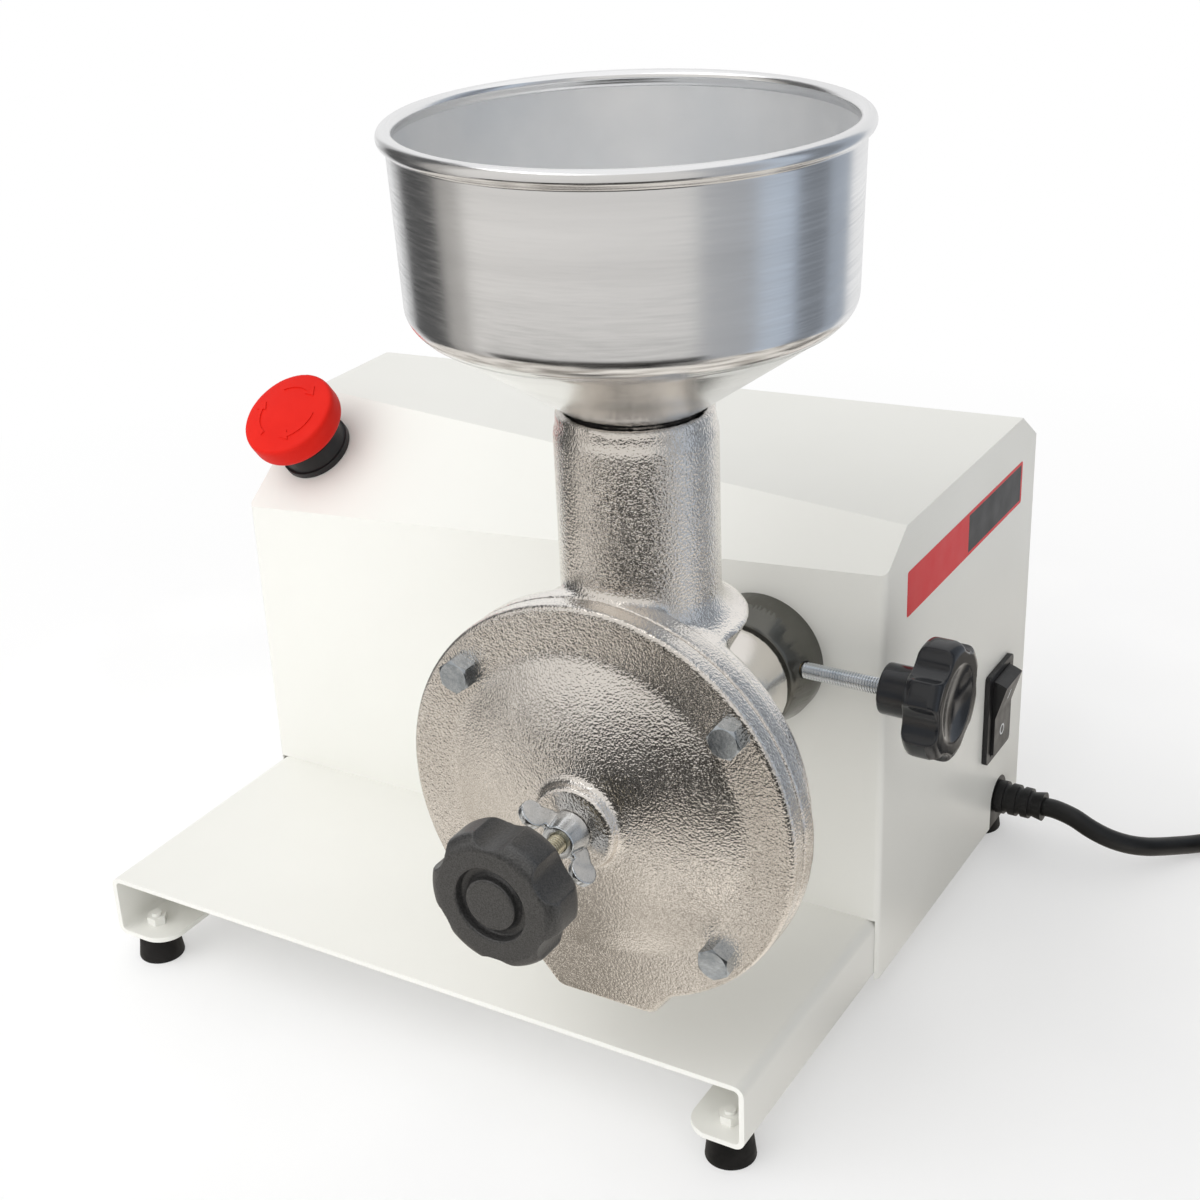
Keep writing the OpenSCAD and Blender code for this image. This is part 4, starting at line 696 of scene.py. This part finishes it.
# %% Casting helper
def relaxed_copy(node, name, body, finish, voxel, rounds, cutter=None):
    solid = nodes[node]
    copy = bpy.data.objects.new(name, solid.data.copy())
    scene.collection.objects.link(copy)
    if cutter:
        cut = copy.modifiers.new("cut", "BOOLEAN")
        cut.object = cutter
    remesh = copy.modifiers.new("even_skin", "REMESH")
    remesh.mode = "VOXEL"
    remesh.voxel_size = voxel * MM
    relax = copy.modifiers.new("relax", "SMOOTH")
    relax.factor = 0.5
    relax.iterations = rounds
    shaped = copy.evaluated_get(bpy.context.evaluated_depsgraph_get())
    skin = bpy.data.meshes.new_from_object(shaped)
    copy.modifiers.clear()
    if cutter:
        bpy.data.objects.remove(cutter)
    copy.data = skin
    skin.materials.clear()
    skin.materials.append(finish)
    skin.polygons.foreach_set("use_smooth", [True] * len(skin.polygons))
    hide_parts(node)
    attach(copy, body)
    print(name, "has", len(skin.polygons), "faces")


print("casting helper ready")

# %% Castings and mouldings
relaxed_copy("grinder_body", "cast_body", "cabinet", tinned_casting, 1.15, 5)
relaxed_copy("grinder_cover", "cast_cover", "cabinet", tinned_casting, 0.7, 6)
relaxed_copy("clamp_knob", "clamping_knob", "clamp", black_phenolic, 0.45, 8)
relaxed_copy("wing_nut", "cast_wing_nut", "wing", zinc_plate, 0.35, 5)
relaxed_copy("stop_head", "mushroom_head", "stop", stop_red, 0.5, 16)


# %% Turned piece helper
def turned_piece(name, outline, axis, steps):
    mesh = bmesh.new()
    rings = []
    for i in range(steps):
        way = 2 * math.pi * i / steps
        c, s = math.cos(way), math.sin(way)
        rings.append([mesh.verts.new((axis.x + r * c, axis.y + r * s, z)) for r, z in outline])
    count = len(outline)
    for i in range(steps):
        a, b = rings[i], rings[(i + 1) % steps]
        for k in range(count):
            mesh.faces.new((a[k], b[k], b[(k + 1) % count], a[(k + 1) % count]))
    return piece_from(mesh, name, True)


print("turned piece helper ready")

# %% Front knob
knob_low, knob_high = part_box("front_knob")
knob_face = Vector(((knob_low.x + knob_high.x) / 2, knob_low.y, (knob_low.z + knob_high.z) / 2))
groove = [(r * MM, z * MM) for r, z in [(8.8, -1), (12, -1), (11.7, 3.2), (9.0, 3.2)]]
ring_cutter = turned_piece("ring_cutter", groove, Vector((0, 0, 0)), 120)
into_knob = Matrix.Rotation(math.radians(-90), 4, "X")
ring_cutter.matrix_world = Matrix.Translation(knob_face) @ into_knob
relaxed_copy("front_knob", "scalloped_knob", "adjuster", grained_nylon, 0.4, 3,
             ring_cutter)

# %% [markdown]
# ## The hopper
#
# The hopper is one spun sheet: a neck, a cone, a rounded shoulder, an upright wall and a rolled
# rim. It could be bent from a cylinder, but a spun pot is round by nature, so half its outline is
# drawn once and swept round the axis in many small steps. The tool leaves a fine crease where the
# cone meets the shoulder.

# %% Hopper outline
sheet, bead, shoulder, slope = 1.2 * MM, 2.5 * MM, 8 * MM, math.radians(34.5)
rim_z, neck_r, mouth_r = hopper_high.z, 21 * MM, (hopper_high.x - hopper_low.x) / 2
wall_top, wall_low = mouth_r - bead, mouth_r - bead - 1.5 * MM
bend_r = wall_low - shoulder
seat_z = hopper_low.z + 22.5 * MM
cone_reach = bend_r + shoulder * math.sin(slope) - neck_r
bend_z = seat_z + cone_reach * math.tan(slope) + shoulder * math.cos(slope)


def between(start, end, shares):
    return [(start[0] + (end[0] - start[0]) * t, start[1] + (end[1] - start[1]) * t)
            for t in shares]


def sheet_line(inset):
    arc = []
    bend = shoulder - inset
    for i in range(13):
        way = (slope - math.pi / 2) * (1 - i / 12)
        arc.append((bend_r + bend * math.cos(way), bend_z + bend * math.sin(way)))
    start_r, start_z = arc[0]
    neck = neck_r - inset
    corner = start_z - (start_r - neck) * math.tan(slope)
    crease = [(start_r - 1.2 * MM, start_z - 1.2 * MM * math.tan(slope)),
              (start_r - 0.4 * MM, start_z - 0.75 * MM * math.tan(slope))]
    cone = between((neck, corner), arc[0], (0.02, 0.3, 0.6, 0.9))
    wall = between(arc[-1], (wall_top - inset, rim_z - 2 * bead),
                   (0.02, 0.04, 0.3, 0.6, 0.9, 0.96, 0.98, 1))
    return [(neck, hopper_low.z), (neck, corner - 0.3 * MM)] + cone + crease + arc + wall


rim_ways = [math.radians(-75 + 255 * i / 18) for i in range(19)]
rolled_rim = [(wall_top + bead * math.cos(a), rim_z - bead + bead * math.sin(a)) for a in rim_ways]
inner = sheet_line(sheet)
outline = sheet_line(0) + rolled_rim + [(wall_top - sheet, rim_z - bead * 1.4)] + inner[::-1]
print("hopper outline points", len(outline))

# %% Hopper
spun_hopper = turned_piece("spun_hopper", outline, hopper_axis, 160)
spun_hopper.data.materials.append(spun_aluminium)
spun_hopper.data.materials.append(scoured_aluminium)
inside_from = len(outline) - len(inner)
for number, face in enumerate(spun_hopper.data.polygons):
    face.material_index = int(number % len(outline) >= inside_from)
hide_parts("hopper")
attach(spun_hopper, "hopper")
print("hopper has", len(spun_hopper.data.polygons), "faces")

# %% [markdown]
# ## Threads
#
# The adjusting screw and the clamp rod are threaded all along. A thread can be swept along a
# helix and joined to its rod, but here it is a tube whose radius goes up and down once per pitch
# while the phase turns with the angle, so a plain grid of points is enough and nothing needs
# joining.


# %% Thread helper
def threaded_rod(name, node, direction, body, finish, pitch):
    low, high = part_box(node)
    centre = (low + high) / 2
    size = high - low
    length, radius = max(size), min(size) / 2
    forward = Vector(direction)
    start = centre - forward * length / 2
    side = forward.orthogonal().normalized()
    other = forward.cross(side)
    around_steps, steps_per_pitch = 36, 8
    lead_in, flank, crest, groove_depth, deepest = 1.2 * pitch, 1.25, 0.2, 0.62, 0.65 * pitch
    count = int(length / pitch * steps_per_pitch)
    mesh = bmesh.new()
    rings = []
    for i in range(count + 1):
        along_rod = length * i / count
        ease = min(1, along_rod / lead_in, (length - along_rod) / lead_in)
        ring = []
        for k in range(around_steps):
            way = 2 * math.pi * k / around_steps
            phase = (along_rod / pitch - k / around_steps) % 1
            cut = max(0, abs(2 * phase - 1) * flank - crest) * groove_depth * pitch
            r = radius - min(cut + (1 - ease) * 0.5 * pitch, deepest)
            spoke = math.cos(way) * side + math.sin(way) * other
            ring.append(mesh.verts.new(start + forward * along_rod + r * spoke))
        rings.append(ring)
    for a, b in zip(rings, rings[1:]):
        for k in range(around_steps):
            after = (k + 1) % around_steps
            mesh.faces.new((a[k], a[after], b[after], b[k]))
    mesh.faces.new(rings[0][::-1])
    mesh.faces.new(rings[-1])
    rod = piece_from(mesh, name, True)
    rod.data.materials.append(finish)
    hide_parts(node)
    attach(rod, body)
    print(name, "has", len(rod.data.polygons), "faces")


print("thread helper ready")

# %% Threads
threaded_rod("threaded_adjuster", "adjusting_screw", (0, -1, 0), "adjuster",
             yellow_zinc, 1.0 * MM)
threaded_rod("threaded_clamp_rod", "clamp_rod", (1, 0, 0), "clamp",
             zinc_plate, 1.0 * MM)

# %% [markdown]
# ## Marks on the controls
#
# Three raised arrows on the red head show which way to twist it loose. The rocker carries the
# usual line and ring for on and off, printed white. A mark could be part of the finish, but a
# thin strip stays sharp from close by and follows its surface: an outline is drawn flat, laid on
# the face by that face's own sizes, and given a little thickness.


# %% Mark helper
def raised_mark(name, outline, to_place, height, body, finish, sink=0.4):
    mesh = bmesh.new()
    count = len(outline)
    top = [mesh.verts.new(to_place(x, y, height)) for x, y in outline]
    low = [mesh.verts.new(to_place(x, y, -sink)) for x, y in outline]
    for i in range(count):
        mesh.faces.new((top[i], low[i], low[(i + 1) % count], top[(i + 1) % count]))
    for i in range(count // 2 - 1):
        for ring in (top, low):
            mesh.faces.new((ring[i], ring[i + 1], ring[count - 2 - i], ring[count - 1 - i]))
    mark = piece_from(mesh, name)
    mark.data.materials.append(finish)
    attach(mark, body)


print("mark helper ready")

# %% Place on the stop button
stop_at = Vector((-121.5, 3, 174.31))
facet_normal = Vector((-0.0677, -0.5780, 0.8133)).normalized()
lean_over = math.acos(facet_normal.z)
swing_round = math.atan2(facet_normal.y, facet_normal.x)
on_facet = (Matrix.Translation(stop_at) @ Matrix.Rotation(swing_round, 4, "Z")
            @ Matrix.Rotation(lean_over, 4, "Y"))
head_top, crown_r = 26.6, 102


def on_stop_head(x, y, lift):
    r = math.hypot(x, y)
    return (on_facet @ Vector((x, y, head_top - r * r / (2 * crown_r) + lift))) * MM


print("stop button leans", round(math.degrees(lean_over), 1), "degrees")


# %% Arrows on the stop button
def curved_arrow(start, sweep_by, r, half_width, head_half, head_sweep):
    steps, blunt_out, blunt_in = 10, 1.005, 0.995
    rim, core = [], []
    for i in range(steps + 1):
        a = math.radians(start - sweep_by * i / steps)
        rim.append(((r + half_width) * math.cos(a), (r + half_width) * math.sin(a)))
        core.append(((r - half_width) * math.cos(a), (r - half_width) * math.sin(a)))
    a = math.radians(start - sweep_by)
    tip = math.radians(start - sweep_by - head_sweep)
    rim.append(((r + head_half) * math.cos(a), (r + head_half) * math.sin(a)))
    core.append(((r - head_half) * math.cos(a), (r - head_half) * math.sin(a)))
    rim.append((r * math.cos(tip) * blunt_out, r * math.sin(tip) * blunt_out))
    core.append((r * math.cos(tip) * blunt_in, r * math.sin(tip) * blunt_in))
    return rim + core[::-1]


for number in range(3):
    arrow = curved_arrow(100 + 120 * number, 62, 12.8, 0.9, 2.4, 17)
    raised_mark(f"twist_arrow_{number + 1}", arrow, on_stop_head, 0.35, "stop",
                stop_red)
print("arrows on the stop button: 3")

# %% Line and ring on the rocker
mark_white = grained("mark_white", (0.70, 0.72, 0.74), (0.80, 0.81, 0.82), (0.4, 0.5),
                     grain=900.0, depth=0.01)
rocker_x, rocker_y, rocker_z, rocker_lean = 143.4, 96, 70.5, math.radians(16)
print_high, print_sink = 0.06, 0.1
line_half, line_low, line_high = 0.45, 6.2, 10.6
ring_out, ring_in, ring_drop = 2.4, 1.7, 8.6


def on_upper_face(across, up, lift):
    x = rocker_x + up * math.sin(rocker_lean) + lift * math.cos(rocker_lean)
    z = rocker_z + up * math.cos(rocker_lean) - lift * math.sin(rocker_lean)
    return Vector((x, rocker_y + across, z)) * MM


def on_lower_face(across, up, lift):
    return Vector((rocker_x + lift, rocker_y + across, rocker_z + up)) * MM


line_mark = [(-line_half, line_low), (-line_half, line_high),
             (line_half, line_high), (line_half, line_low)]
raised_mark("on_line", line_mark, on_upper_face, print_high, "rocker",
            mark_white, print_sink)
turns = [2 * math.pi * i / 28 for i in range(29)]
ring_mark = [(ring_out * math.cos(a), ring_out * math.sin(a) - ring_drop) for a in turns]
ring_mark += [(ring_in * math.cos(a), ring_in * math.sin(a) - ring_drop) for a in reversed(turns)]
raised_mark("off_ring", ring_mark, on_lower_face, print_high, "rocker",
            mark_white, print_sink)
print("marks on the rocker: 2")

# %% [markdown]
# ## The plain label
#
# The label on the right wall is a thin film with rounded corners: a red field, and a dark field
# with a red edge. The film is a flat outline with a tenth of a millimetre of thickness. Two films
# side by side would leave a gap, so it is one piece, and its two colours are parted by the place
# along the wall.

# %% Label colours
label = Finish("blank_label")
label_xyz = label.node("ShaderNodeSeparateXYZ", Vector=label.place)
dark_y, dark_z = (0.056, 0.1125), (0.1558, 0.1708)


def inside_of(value, low, high):
    above = label.reckon("ShaderNodeMath", "GREATER_THAN", value, low)[0]
    below = label.reckon("ShaderNodeMath", "LESS_THAN", value, high)[0]
    return label.reckon("ShaderNodeMath", "MULTIPLY", above, below)[0]


dark_field = label.reckon("ShaderNodeMath", "MULTIPLY",
                          inside_of(label_xyz.outputs["Y"], *dark_y),
                          inside_of(label_xyz.outputs["Z"], *dark_z))[0]
label.colours(dark_field, (0.72, 0.012, 0.020), (0.016, 0.016, 0.018), 0.4, 0.6)
label.bump(label.noise(300.0), 0.01, 0.3)
blank_label = label.set(Roughness=label.spread(label.noise(120.0), 0.34, 0.42),
                        Specular_IOR_Level=0.25)
print("finish", blank_label.name)

# %% Label film
film_corner, label_y, label_z, wall_x = 1.0, (-3.0, 114.0), (154.5, 172.0), 140.0
film_top = []
for end, ways in ((0, (math.pi, math.pi / 2)), (1, (math.pi / 2, 0))):
    for i in range(7):
        a = ways[0] + (ways[1] - ways[0]) * i / 6
        middle_y = label_y[end] + (film_corner if end == 0 else -film_corner)
        film_top.append((middle_y + film_corner * math.cos(a),
                         label_z[1] - film_corner + film_corner * math.sin(a)))
film = film_top + [(y, label_z[0] + label_z[1] - z) for y, z in reversed(film_top)]


def on_right_wall(y, z, lift):
    return Vector((wall_x + lift, y, z)) * MM


raised_mark("blank_label", film, on_right_wall, 0.1, "cabinet", blank_label, 0.0)
print("label", label_y, label_z)
